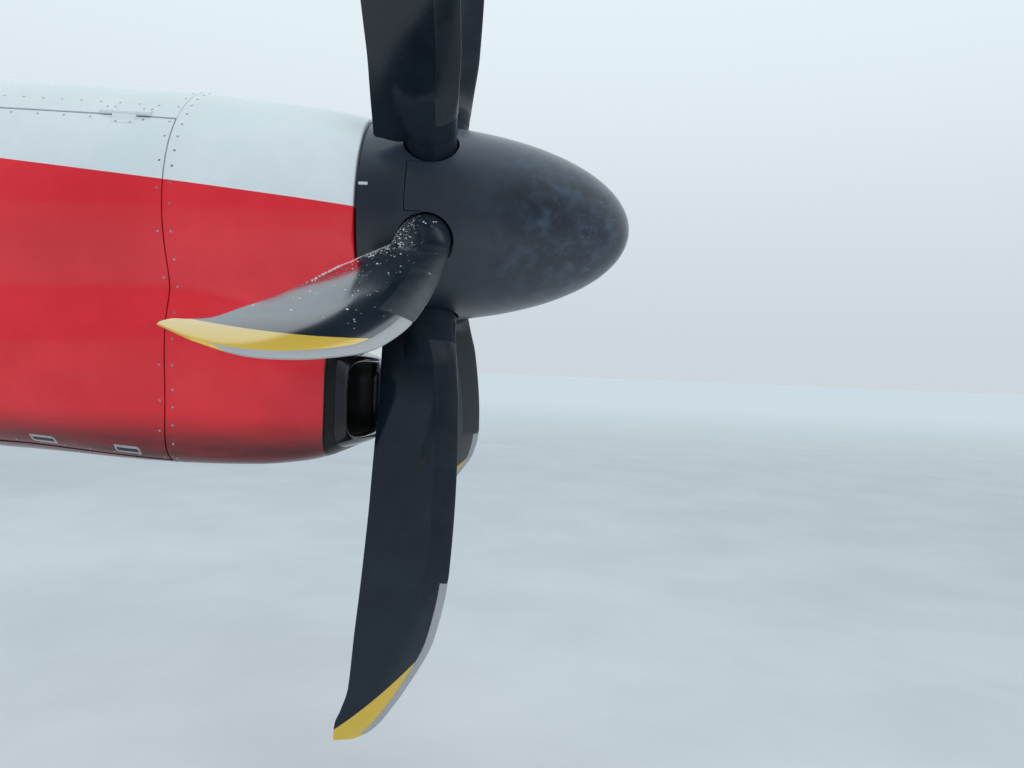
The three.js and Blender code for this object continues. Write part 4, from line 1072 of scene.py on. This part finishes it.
def true_facings(piece):
    """Gives the spinner's outer faces their exact shading, so that the cuts leave no trace beside them."""
    mesh = piece.data
    points = np.zeros(3 * len(mesh.vertices))
    mesh.vertices.foreach_get("co", points)
    points = points.reshape(-1, 3)
    exact = spinner_facing(points)
    normals = np.array([c.vector for c in mesh.corner_normals])
    for polygon in mesh.polygons:
        centre, facing = np.array(polygon.center), np.array(polygon.normal)
        off = abs(math.hypot(centre[1], centre[2]) - spinner_radius(centre[0] - PROP_X).item())
        if off < 0.0015 and facing @ spinner_facing(centre) > 0.93:
            for corner in polygon.loop_indices:
                normals[corner] = exact[mesh.loops[corner].vertex_index]
    mesh.normals_split_custom_set([tuple(n) for n in normals])


def spinner():
    """The nose shell and the rear ring, with the ring's bulkhead, its mark and the screws of the seam."""
    slot = SOCKET_RADIUS + SLOT_CLEARANCE
    sizes = {"Segments": 192, "Slot_end": -0.0140, "Socket": SOCKET_RADIUS}
    cuts = {"Seam": SEAM_AFT, "Slot_half_width": slot}
    tree = spinner_tree(SPINNER, False)
    nose = tree.make("spinner_nose", From=-SEAM_AFT, To=SPINNER_AHEAD, Rows=110, **sizes, **cuts)
    true_facings(nose)
    finish_piece(nose, "propeller", "spinner", SPINNER, "spinner_shell")
    cuts = {"Seam": SEAM_AFT + 0.0030, "Slot_half_width": slot - 0.0026}
    tree = spinner_tree(SPINNER, True)
    ring = tree.make("spinner_rear_ring", From=-SPINNER_RIM_AFT, To=-0.0166, Rows=26, **sizes, **cuts)
    true_facings(ring)
    finish_piece(ring, "propeller", "spinner", SPINNER, "spinner_ring")
    back, bore, rim = PROP_X - SPINNER_RIM_AFT, 0.190, 0.4125
    front = back + 0.010
    bulkhead = [(back, bore), (back, 0.4110), (back + 0.003, rim), (front, rim), (front, bore)]
    finish_piece(lathe("spinner_bulkhead", bulkhead, 144), "propeller", "spinner", SPINNER)
    spinner_mark()
    screw_aft = SEAM_AFT + 0.016
    places = circle(PROP_X - screw_aft, spinner_radius(-screw_aft).item(), points=36)
    phase = np.degrees(np.arctan2(-places[:, 1], places[:, 2])) - BLADE_PHASE
    clear = np.abs((phase + 30) % 60 - 30) > 17.5
    screws = places[clear]
    facings = spinner_facing(screws)
    place_fasteners(
        "spinner_screws", SCREW_TREE, screws, facings, 0.0040, 0.0006, "propeller", "spinner", SPINNER
    )


def spinner_mark():
    """A short plain white stroke on the rear ring, raised like a decal."""
    turn, half_width = math.radians(281.0), 0.0058
    start, end = 0.003, 0.038  # ahead of the rim
    ahead = np.linspace(-SPINNER_RIM_AFT + start, -SPINNER_RIM_AFT + end, 7)
    angle = turn + np.linspace(-half_width, half_width, 4) / SPINNER_RIM_RADIUS
    a, t = np.meshgrid(ahead, angle, indexing="ij")
    grids = []
    for lift in (0.0004, -0.0010):
        radius = spinner_radius(a) + lift
        grids.append(np.stack([PROP_X + a, radius * np.sin(t), radius * np.cos(t)], -1))
    finish_piece(shell("spinner_ring_mark", *grids), "propeller", "spinner", MARK)


# Blades. Chord places are measured from the pitch axis, positive towards the leading edge.
def blade_values(r):
    """Leading and trailing edge, chord angle, thickness over chord and camber at a radius."""
    lead, trail = smooth_table(BLADE_EDGES, r)
    angle, ratio, camber = smooth_table(BLADE_SECTIONS, r)
    return lead, trail, np.radians(angle), ratio, camber


def blade_heights(r, share):
    """Half thickness, camber line and chord place at a share of the chord, faired into the shank."""
    lead, trail, _, ratio, camber = blade_values(r)
    chord = lead - trail
    t = share
    profile = 0.2969 * np.sqrt(t) - 0.126 * t - 0.3516 * t**2 + 0.2843 * t**3 - 0.1036 * t**4
    aerofoil = 5 * ratio * chord * profile + 0.0016 * (0.35 + 0.65 * t)
    height = (CUFF_RADIUS - 0.001) * (1 - ease(r, BLADE_ROOT, BLADE_ROOT + FAIRING))
    width = CUFF_RADIUS - 0.001 + 0.1 * (r - BLADE_ROOT)
    c = lead - share * chord
    bulge = height * np.sqrt(np.maximum(1 - (c / width) ** 2, 0))
    half = (aerofoil**4 + bulge**4) ** 0.25
    line = camber * chord * 4 * t * (1 - t) * (1 - bulge / np.maximum(half, 1e-9))
    return half, line, c


def blade_points(r, c, n, blade):
    """Places on one blade from its radius, chord place and height."""
    angle = blade_values(r)[2]
    phi = math.radians(BLADE_PHASE + 360 / BLADE_COUNT * blade)
    x = PROP_X + c * np.sin(angle) + n * np.cos(angle)
    across = -c * np.cos(angle) + n * np.sin(angle)
    y = across * math.cos(phi) - r * math.sin(phi)
    z = across * math.sin(phi) + r * math.cos(phi)
    return np.stack([x, y, z], -1)


def surface_map(r, c):
    return np.stack([r, c + MAP_SHIFT], -1)


def aerofoil_grid(radii, share):
    """Radii and chord shares over a blade. Its inner edge slants in to the shank, with a round corner."""
    r, s = np.meshgrid(radii, share, indexing="ij")
    lead, trail, *_ = blade_values(r)
    c = lead - s * (lead - trail)
    slant = -0.024 * (1 - ease(-c, 0.120, 0.215)) + 0.011 * np.clip((-c - 0.206) / 0.013, 0, 1) ** 2
    fade = 1 - np.clip((r - BLADE_ROOT) / 0.150, 0, 1)
    return r + slant * fade, s


def make_blade(blade):
    """One blade's aerofoil, closed at both ends, with its inner corners rounded."""
    root = BLADE_ROOT + np.array([0.0, 0.001, 0.003, 0.006])
    middle = [np.linspace(0.466, 0.9, 46), np.linspace(0.92, 1.8, 40), np.linspace(1.815, 2.04, 24)]
    radii = np.concatenate([root, *middle, [2.047, 2.053, 2.057]])
    share = 0.5 - 0.5 * np.cos(np.linspace(0, math.pi, 45))
    r, s = aerofoil_grid(radii, share)
    half, line, c = blade_heights(r, s)
    rounding = np.clip((radii - BLADE_ROOT) / 0.006, 0.0, 1.0)[:, None]
    outside = np.clip((np.abs(c) - 0.085) / 0.030, 0, 1)
    half = half * (1 - 0.07 * outside * (1 - np.sqrt(1 - (1 - rounding) ** 2)))
    top = blade_points(r, c, line + half, blade)
    low = blade_points(r, c, line - half, blade)
    loop = np.concatenate([top, low[:, ::-1]], 1)
    painted = r - TIP_PAINT_SHIFTS[blade]
    uv = surface_map(np.concatenate([painted, painted[:, ::-1]], 1), np.concatenate([c, c[:, ::-1]], 1))
    rows, columns = loop.shape[:2]
    faces = grid_faces(rows, columns, 0, True)
    for first in (0, (rows - 1) * columns):
        last = first + columns - 1
        faces += [(first + j, first + j + 1, last - 1 - j, last - j) for j in range(columns // 2 - 1)]
    return link_mesh(f"blade_{blade + 1}_aerofoil", loop, faces, uv, 38)


def shank(blade):
    """The round root between the spinner's socket and the aerofoil, with the collar it turns in."""
    phi = math.radians(BLADE_PHASE + 360 / BLADE_COUNT * blade)
    turn = np.array(Matrix.Rotation(phi, 3, "X").transposed())
    cuff = CUFF_RADIUS - 0.0008
    rows = [(SHANK_INNER, 0.060), (SHANK_INNER, SHANK_RADIUS - 0.002), (SHANK_INNER + 0.002, SHANK_RADIUS)]
    rows += [(0.325, SHANK_RADIUS), (0.327, cuff - 0.002), (0.330, cuff), (0.400, cuff), (0.450, cuff)]
    rows += [(0.456, cuff - 0.0030), (0.480, 0.060)]
    sides = 96
    angle = turns(sides)
    ring = [np.stack([r * np.cos(angle), r * np.sin(angle), np.full(sides, z)], -1) for z, r in rows]
    points = np.array(ring) @ turn
    points[..., 0] += PROP_X
    faces = grid_faces(len(rows), sides, 0, True)
    last = (len(rows) - 1) * sides
    faces += [(last + j, last + (j + 1) % sides, (j + 1) % sides, j) for j in range(sides)]
    uv = surface_map(np.full(points.shape[:2], 0.4), np.zeros(points.shape[:2]))
    return link_mesh(f"blade_{blade + 1}_shank", points, faces, uv)


def edge_sleeve(name, blade, start, end, width, thickness, taper):
    """A sleeve round the leading edge that thins to its inner edge."""
    first, last = [start, start + 0.001, start + 0.004], [end - 0.004, end - 0.001, end]
    radii = np.concatenate([first, np.linspace(start + 0.01, end - 0.01, 64), last])
    t = np.linspace(0, 1, 15)
    r, w = np.meshgrid(radii, width * t**1.5, indexing="ij")
    lead, trail, *_ = blade_values(r)
    share = np.minimum(w / (lead - trail), 0.92)
    half, line, c = blade_heights(r, share)
    thin_inwards = np.clip((width - w) / taper, 0.12, 1.0)
    thin_at_ends = np.clip((r - start) / 0.004, 0.2, 1.0) * np.clip((end - r) / 0.020, 0.12, 1.0)
    lift = thickness * thin_inwards * thin_at_ends
    forward = lift * (1 - np.clip(w / 0.004, 0, 1))
    under = 0.0004
    top = blade_points(r, c + forward, line + half + lift, blade)
    low = blade_points(r, c + forward, line - half - lift, blade)
    top_in = blade_points(r, c, line + half - under, blade)
    low_in = blade_points(r, c, line - half + under, blade)
    outer = np.concatenate([top[:, ::-1], low], 1)
    inner = np.concatenate([top_in[:, ::-1], low_in], 1)
    uv = surface_map(np.concatenate([r[:, ::-1], r], 1), np.concatenate([c[:, ::-1], c], 1))
    return shell(name, outer, inner, uv=uv, sharp=40)


def wet_patch(blade, amount):
    """A bare skin over one face of a blade for drops to stand on. amount gives how thick they lie."""
    r, s = aerofoil_grid(np.linspace(0.458, 1.70, 90), np.linspace(0.02, 0.995, 40))
    half, line, c = blade_heights(r, s)
    vertices = blade_points(r, c, line + half, blade).reshape(-1, 3)
    mesh = bpy.data.meshes.new(f"blade_{blade + 1}_wet")
    mesh.from_pydata([tuple(v) for v in vertices], [], grid_faces(*r.shape))
    layer = mesh.attributes.new("drops", "FLOAT", "POINT")
    layer.data.foreach_set("value", amount(r, c).ravel())
    return mesh


def drops_on_blades():
    """Rime along the trailing edge of the blade that faces up most, and scattered drops on it."""

    def rime(r, c):
        trail = blade_values(r)[1]
        return (1 - ease(c - trail, 0.004, 0.020)) * ease(r, 0.455, 0.475) * (1 - ease(r, 0.85, 1.45))

    def scatter(r, c):
        near = np.exp(-(((r - 0.56) / 0.16) ** 2) - ((c + 0.13) / 0.09) ** 2)
        return 0.06 + near

    def grains(r, c):
        return np.exp(-(((r - 0.50) / 0.075) ** 2) - ((c + 0.11) / 0.085) ** 2)

    tree = drop_tree(WATER, 11)
    sets = [  # name, where they lie, number to a square metre, least and greatest radius
        ("rime", rime, 60000.0, 0.0011, 0.0036),
        ("drops", scatter, 4800.0, 0.0012, 0.0044),
        ("grains", grains, 30000.0, 0.0008, 0.0022),
    ]
    for name, amount, density, small, large in sets:
        patch = wet_patch(1, amount)
        piece = tree.make(f"blade_2_{name}", patch, Density=density, Small=small, Large=large)
        finish_piece(piece, "propeller_blade_2", "blade", WATER)


def propeller():
    spinner()
    for blade in range(BLADE_COUNT):
        body = f"propeller_blade_{blade + 1}"
        finish_piece(make_blade(blade), body, "blade", BLADE, f"blade_{blade + 1}")
        finish_piece(shank(blade), body, "blade", BLADE)
        boot = (BOOT_START, SHEATH_START - 0.0020, BOOT_WIDTH, 0.0014, 0.004)
        deicer = edge_sleeve(f"blade_{blade + 1}_deicer", blade, *boot)
        finish_piece(deicer, body, "rubber", BOOT, f"blade_{blade + 1}_boot")
        sheath = (SHEATH_START, SHEATH_END, SHEATH_WIDTH, 0.0010, 0.002)
        edge = edge_sleeve(f"blade_{blade + 1}_edge", blade, *sheath)
        finish_piece(edge, body, "sheath", SHEATH, f"blade_{blade + 1}_sheath")
    drops_on_blades()


# Engine and what carries it
def ring_bolts(name, x, height, radius, count, size):
    """A ring of bolts whose heads point forward."""
    places, facings = circle(x, radius, height, count), np.tile([1.0, 0.0, 0.0], (count, 1))
    place_fasteners(name, BOLT_TREE, places, facings, size, size * 0.9, "nacelle", "casing", STEEL)


GEARBOX_PROFILE = [  # aft, radius
    (0.2100, 0.060), (0.2100, 0.114), (0.214, 0.118), (0.360, 0.118), (0.372, 0.150), (0.440, 0.212),
    (0.478, 0.246), (0.490, 0.250), (0.520, 0.250), (0.524, 0.255), (0.540, 0.255), (0.544, 0.250),
    (0.628, 0.250), (0.632, 0.268), (0.652, 0.268), (0.656, 0.240), (0.656, 0.060),
]
CORE_PROFILE = [  # aft, radius
    (0.840, 0.080), (0.840, 0.186), (0.846, 0.190), (1.060, 0.202), (1.066, 0.212), (1.078, 0.212),
    (1.084, 0.204), (1.286, 0.214), (1.290, 0.250), (1.304, 0.250), (1.306, 0.246), (1.308, 0.250),
    (1.320, 0.250), (1.322, 0.240), (1.500, 0.240), (1.506, 0.247), (1.518, 0.247), (1.524, 0.240),
    (1.714, 0.240), (1.716, 0.285), (1.730, 0.285), (1.732, 0.281), (1.734, 0.285), (1.745, 0.285),
    (1.750, 0.262), (1.980, 0.262), (1.985, 0.268), (1.995, 0.268), (2.000, 0.262), (2.224, 0.262),
    (2.226, 0.285), (2.250, 0.285), (2.254, 0.260), (2.320, 0.236), (2.398, 0.192), (2.400, 0.080),
]
CORE_FLANGES = ((1.290, 0.242, 36), (1.716, 0.276, 44), (2.226, 0.276, 40))  # aft, radius, bolts
PIPES = {  # radius, then aft, y and z of each point
    "oil_feed_pipe": (
        0.011,
        (0.660, 0.200, -0.160),
        (0.80, 0.262, -0.140),
        (1.25, 0.268, -0.120),
        (1.68, 0.262, -0.100),
        (1.74, 0.250, 0.010),
    ),
    "oil_return_pipe": (
        0.012,
        (0.660, -0.190, -0.180),
        (0.80, -0.262, -0.200),
        (1.25, -0.268, -0.210),
        (1.68, -0.262, -0.220),
        (1.745, -0.262, -0.250),
    ),
    "bleed_air_pipe": (
        0.020,
        (1.60, 0.150, 0.030),
        (1.66, 0.190, 0.130),
        (1.90, 0.200, 0.170),
        (2.30, 0.190, 0.170),
        (2.66, 0.180, 0.160),
    ),
    "fuel_feed_pipe": (
        0.008,
        (1.14, -0.055, 0.170),
        (1.30, -0.130, 0.160),
        (1.60, -0.170, 0.110),
        (1.86, -0.185, 0.060),
    ),
    "harness_left": (
        0.007,
        (1.80, 0.060, 0.150),
        (1.60, 0.080, 0.145),
        (1.30, 0.090, 0.160),
        (1.20, 0.100, 0.151),
    ),
    "harness_right": (
        0.009,
        (2.10, -0.060, 0.120),
        (2.30, -0.120, 0.140),
        (2.50, -0.150, 0.150),
        (2.668, -0.160, 0.160),
    ),
}


def casings():
    """Reduction gearbox, inlet case with its elbow, and the compressor, combustor and turbine casings."""
    gearbox = lathe("gearbox_casing", from_aft(GEARBOX_PROFILE))
    finish_piece(gearbox, "nacelle", "casing", CASTING, "engine_block")
    ring_bolts("gearbox_bolts", PROP_X - 0.632, 0.0, 0.258, 40, 0.0055)

    neck, steps = [], 13
    for share in np.linspace(0, 1, steps + 1):
        rib = 0.006 if int(share * steps) % 3 == 0 else 0.0
        aft, radius = 0.600 + 0.270 * share, 0.248 - 0.022 * share + rib
        neck.append(circle(PROP_X - aft, radius, -0.098 - 0.024 * share))
    finish_piece(loft("inlet_case", neck), "nacelle", "casing", CASTING)

    finish_piece(lathe("core_casing", from_aft(CORE_PROFILE), height=CORE_Z), "nacelle", "casing", CASTING)
    for k, (aft, radius, count) in enumerate(CORE_FLANGES):
        ring_bolts(f"core_bolts_{k + 1}", PROP_X - aft, CORE_Z, radius, count, 0.0050)

    angle = turns(64)
    across, up = [np.sign(v) * np.abs(v) ** 0.45 for v in (np.sin(angle), np.cos(angle))]
    sizes = [  # aft, half width, bottom
        (1.1505, 0.184, -0.600),
        (1.17, 0.182, -0.598),
        (1.26, 0.180, -0.585),
        (1.36, 0.178, -0.560),
        (1.418, 0.172, -0.540),
    ]
    elbow = []
    for aft, half_width, low in sizes:
        z = (low + CORE_Z) / 2 + (CORE_Z - low) / 2 * up
        elbow.append(np.stack([np.full_like(z, PROP_X - aft), half_width * across, z], -1))
    finish_piece(loft("inlet_elbow", elbow), "nacelle", "casing", CASTING)


def accessories():
    """What is bolted to the engine: accessory gearbox, generator, pump, control unit, fuel ring and pipes."""
    ends = (PROP_X - 1.260, -0.130, -0.02), (PROP_X - 0.900, 0.130, 0.150)
    finish_piece(soft_box("accessory_gearbox", *ends, 0.014), "nacelle", "casing", CASTING)
    angle = turns(48)
    cans = (("starter_generator", 0.960, 0.205, 0.070), ("hydraulic_pump", 1.140, 0.190, 0.055))
    for name, aft, top, radius in cans:
        cap = radius * 0.92
        rows = [(0.149, 0.02), (0.149, radius), (top - 0.018, radius), (top - 0.016, cap), (top - 0.006, cap)]
        rows += [(top - 0.0005, radius * 0.84), (top - 0.0005, 0.02)]
        loops = [
            np.stack([PROP_X - aft + r * np.cos(angle), r * np.sin(angle), np.full_like(angle, z)], -1)
            for z, r in rows
        ]
        finish_piece(loft(name, loops, True), "nacelle", "casing", CASTING)
    ends = (PROP_X - 2.100, -0.110, 0.060), (PROP_X - 1.800, 0.110, 0.190)
    finish_piece(soft_box("engine_control_unit", *ends, 0.008), "nacelle", "casing", BLACK_BOX)

    ring_aft, ring_radius, pipe_radius = 1.860, 0.276, 0.006
    ahead = np.array([1.0, 0.0, 0.0])
    loops = []
    for point, out in zip(circle(PROP_X - ring_aft, ring_radius, CORE_Z), circle(0.0, 1.0)):
        loops.append([point + pipe_radius * (math.cos(v) * out + math.sin(v) * ahead) for v in turns(12)])
    finish_piece(loft("fuel_manifold", loops, True, 60), "nacelle", "steel", STEEL)
    nozzles, facings = circle(PROP_X - ring_aft, 0.268, CORE_Z, 14), circle(0.0, 1.0, points=14)
    place_fasteners("fuel_nozzles", BOLT_TREE, nozzles, facings, 0.014, 0.014, "nacelle", "steel", STEEL)
    for name, (radius, *path) in PIPES.items():
        material = BLACK_BOX if name.startswith("harness") else STEEL
        finish_piece(tube(name, from_aft(path), radius, 14, 8), "nacelle", "steel", material)


def exhaust():
    """The exhaust pipe, from the turbine's rear face down and back through the firewall."""
    rows = [(2.4003, CORE_Z, 0.185), (2.440, CORE_Z - 0.030, 0.172), (2.520, CORE_Z - 0.100, 0.161)]
    rows += [(2.600, EXHAUST_Z + 0.012, 0.152), (2.640, EXHAUST_Z, 0.150), (2.740, EXHAUST_Z, 0.150)]
    rows, wall = from_aft(smooth_rows(rows, 6)), 0.004
    outer = np.array([circle(x, radius, z, 96) for x, z, radius in rows])
    inner = np.array([circle(x, radius - wall, z, 96) for x, z, radius in rows])
    duct = shell("exhaust_duct", outer, inner, wrap=True)
    finish_piece(duct, "nacelle", "steel", HOT_STEEL, "exhaust_pipe")
    back, face, bore, rim = -0.040, -0.026, EXHAUST_RADIUS - 0.001, 0.168
    flange = [(back, bore), (back, 0.166), (-0.038, rim), (-0.028, rim), (face, 0.166), (face, bore)]
    finish_piece(lathe("exhaust_flange", flange, height=EXHAUST_Z), "nacelle", "steel", HOT_STEEL)
    ring_bolts("exhaust_flange_bolts", face, EXHAUST_Z, 0.1600, 24, 0.0045)


def mounts():
    """On each side two struts run from a pad on the gearbox to pads on the firewall."""
    for name, side in (("left", 1), ("right", -1)):
        front = np.array([PROP_X - 0.560, side * 0.292, -0.060])
        low, high = sorted((side * 0.2625, side * 0.300))
        ends = (front[0] - 0.060, low, -0.120), (front[0] + 0.060, high, 0.0)
        pad = soft_box(f"mount_{name}_pad", *ends, 0.008)
        finish_piece(pad, "nacelle", "steel", STEEL, f"engine_mount_{name}")
        for k, (y, z) in enumerate(((side * 0.395, 0.200), (side * 0.395, -0.215))):
            foot = np.array([FIREWALL_THICKNESS + GAP, y, z])
            ahead = (foot - front) / np.linalg.norm(foot - front)
            length = np.linalg.norm(foot - front)
            near = [0.0, 0.045, 0.060, 0.064, 0.100]
            far = [length - back for back in (0.110, 0.074, 0.070, 0.055, 0.012)]
            radii = [0.0195, 0.0195, 0.0195, 0.0145, 0.0175, 0.0175, 0.0145, 0.0195, 0.0195, 0.0195]
            strut = tube(f"mount_{name}_strut_{k + 1}", [front + ahead * s for s in near + far], radii, 28, 1)
            finish_piece(strut, "nacelle", "steel", STEEL)
            face, half, bolt = foot[0] + 0.016, 0.045, 0.032
            ends = (foot[0], y - half, z - half), (face, y + half, z + half)
            finish_piece(soft_box(f"mount_{name}_foot_{k + 1}", *ends, 0.004), "nacelle", "steel", STEEL)
            corners = [(face, y + dy, z + dz) for dy in (-bolt, bolt) for dz in (-bolt, bolt)]
            facings = [(1.0, 0.0, 0.0)] * 4
            bolts = f"mount_{name}_bolts_{k + 1}"
            place_fasteners(bolts, BOLT_TREE, corners, facings, 0.0085, 0.009, "nacelle", "steel", STEEL)


def firewall():
    """The rear frame: a skin band, the flat bulkhead with the exhaust's hole in it, and its stiffeners."""
    along, around = np.linspace(DOOR_END + GAP, PROP_X, 12), np.linspace(0, 1, 361)[:-1]
    aft, place = np.meshgrid(along, around, indexing="ij")
    drop = np.zeros_like(aft)
    drop[0] = drop[-1] = 0.0012
    band = shell("rear_band", section(aft, place, drop), section(aft, place, PANEL), wrap=True)
    finish_piece(band, "nacelle", "primer", PRIMER, "firewall")
    outline = section(np.full(288, 2.69), np.linspace(0, 1, 289)[:-1], PANEL + 0.0004)
    hole = circle(0.0, EXHAUST_RADIUS + 0.0015, EXHAUST_Z)
    bulkhead = plate("firewall_bulkhead", [outline, hole], 0.0, FIREWALL_THICKNESS)
    finish_piece(bulkhead, "nacelle", "primer", PRIMER)
    bars = [  # name, from and to along y, from and to along z
        ("beam_high", -0.40, 0.40, 0.075, 0.095),
        ("beam_low", -0.35, 0.35, -0.560, -0.540),
        ("beam_foot", -0.35, 0.35, -0.800, -0.780),
    ]
    for k, y in enumerate((-0.26, 0.26)):
        bars.append((f"post_high_{k + 1}", y - 0.010, y + 0.010, 0.098, 0.44))
        bars.append((f"post_low_{k + 1}", y - 0.010, y + 0.010, -0.537, 0.072))
    face, depth = FIREWALL_THICKNESS + GAP, 0.020
    for name, left, right, low, high in bars:
        bar = soft_box(f"firewall_{name}", (face, left, low), (face + depth, right, high), 0.004)
        finish_piece(bar, "nacelle", "primer", PRIMER)
    place = np.linspace(0, 1, 109)[:-1]
    for k, aft in enumerate((DOOR_END + 0.018, DOOR_END + 0.122)):
        a = np.full_like(place, aft)
        rivets, places, facings = f"rear_band_rivets_{k + 1}", section(a, place), section_facing(a, place)
        place_fasteners(rivets, SCREW_TREE, places, facings, 0.0040, 0.0010, "nacelle", "primer", PRIMER)
    rim = section(np.full_like(place, PROP_X), place, 0.034)
    rim[:, 0] = 0.0
    facings = np.tile([-1.0, 0.0, 0.0], (len(rim), 1))
    place_fasteners("firewall_bolts", BOLT_TREE, rim, facings, 0.0050, 0.0030, "nacelle", "steel", STEEL)


def dress_nodes():
    """Materials for the CAD nodes that stay."""
    finishes = {"inner_frame": PRIMER, "propeller_hub": HUB, "intake_duct_end": DUCTING}
    finishes.update({f"attach_fitting_{k}": STEEL for k in range(1, 5)})
    for name, material in finishes.items():
        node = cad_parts[name]
        node.data.materials.clear()
        node.data.materials.append(material)


# Ground, sky and light
def ground():
    size = 300.0
    corners = [(x, y, -HUB_HEIGHT) for x, y in ((-size, -size), (size, -size), (size, size), (-size, size))]
    floor = link_mesh("floor", corners, [(0, 1, 2, 3)])
    f = Finish("pale_floor", Roughness=0.85)
    patches = f.ramp(f.noise(0.6, 6.0, 0.6), 0.3, 0.7)
    # painted light: the floor turns paler with distance, making up for the light that falls off over the far
    # floor
    painted_far_light = f.ramp(f.axis("Y"), 2.0, 60.0)
    f.colour(f.mix(painted_far_light, f.mix(patches, (0.63, 0.65, 0.67), (0.69, 0.71, 0.73)), (0.93, 0.96, 0.98)))
    floor.data.materials.append(f.material)


def sky():
    """Overcast light, paler overhead and darker on the camera's side."""
    world = bpy.data.worlds.new("overcast")
    bpy.context.scene.world = world
    world.use_nodes = True
    tree = world.node_tree
    place = tree.nodes.new("ShaderNodeTexCoord")
    split = tree.nodes.new("ShaderNodeSeparateXYZ")
    tree.links.new(place.outputs["Generated"], split.inputs[0])

    def share(axis, low, high):
        made = tree.nodes.new("ShaderNodeMapRange")
        made.interpolation_type = "SMOOTHSTEP"
        made.inputs["From Min"].default_value = low
        made.inputs["From Max"].default_value = high
        tree.links.new(split.outputs[axis], made.inputs["Value"])
        return made.outputs["Result"]

    def blend(amount, low, high):
        made = tree.nodes.new("ShaderNodeMix")
        made.data_type = "RGBA"
        tree.links.new(amount, made.inputs[0])
        for key, colour in ((6, low), (7, high)):
            if isinstance(colour, bpy.types.NodeSocket):
                tree.links.new(colour, made.inputs[key])
            else:
                made.inputs[key].default_value = (*colour, 1)
        return made.outputs[2]

    clouds = blend(share("Z", 0.0, 0.45), (0.615, 0.675, 0.722), (0.780, 0.880, 0.930))
    whole = blend(share("Y", -0.85, 0.0), (0.260, 0.310, 0.365), clouds)
    background = tree.nodes["Background"]
    tree.links.new(whole, background.inputs["Color"])
    background.inputs["Strength"].default_value = 1.0


def lamps():
    """Two soft area lights, which show in no reflection."""
    for name, place, aim, size, power in (
        ("key", (5.5, -8.5, 4.8), (2.2, 0, -0.2), 6.0, 420.0),
        ("back", (-4.0, 7.0, 6.0), (1.2, 0, 0), 5.0, 160.0),
    ):
        data = bpy.data.lights.new(name, "AREA")
        data.energy, data.size = power, size
        data.color = (0.95, 0.99, 1.0)
        lamp = bpy.data.objects.new(name, data)
        lamp.location = place
        lamp.rotation_mode = "QUATERNION"
        lamp.rotation_quaternion = (Vector(aim) - Vector(place)).to_track_quat("-Z", "Y")
        lamp.visible_glossy = False
        bpy.context.collection.objects.link(lamp)


make_camera()
nose_cowl()
intake()
cowl_panels()
propeller()
casings()
accessories()
exhaust()
mounts()
firewall()
dress_nodes()
ground()
sky()
lamps()
bpy.context.scene.view_settings.view_transform = "Standard"
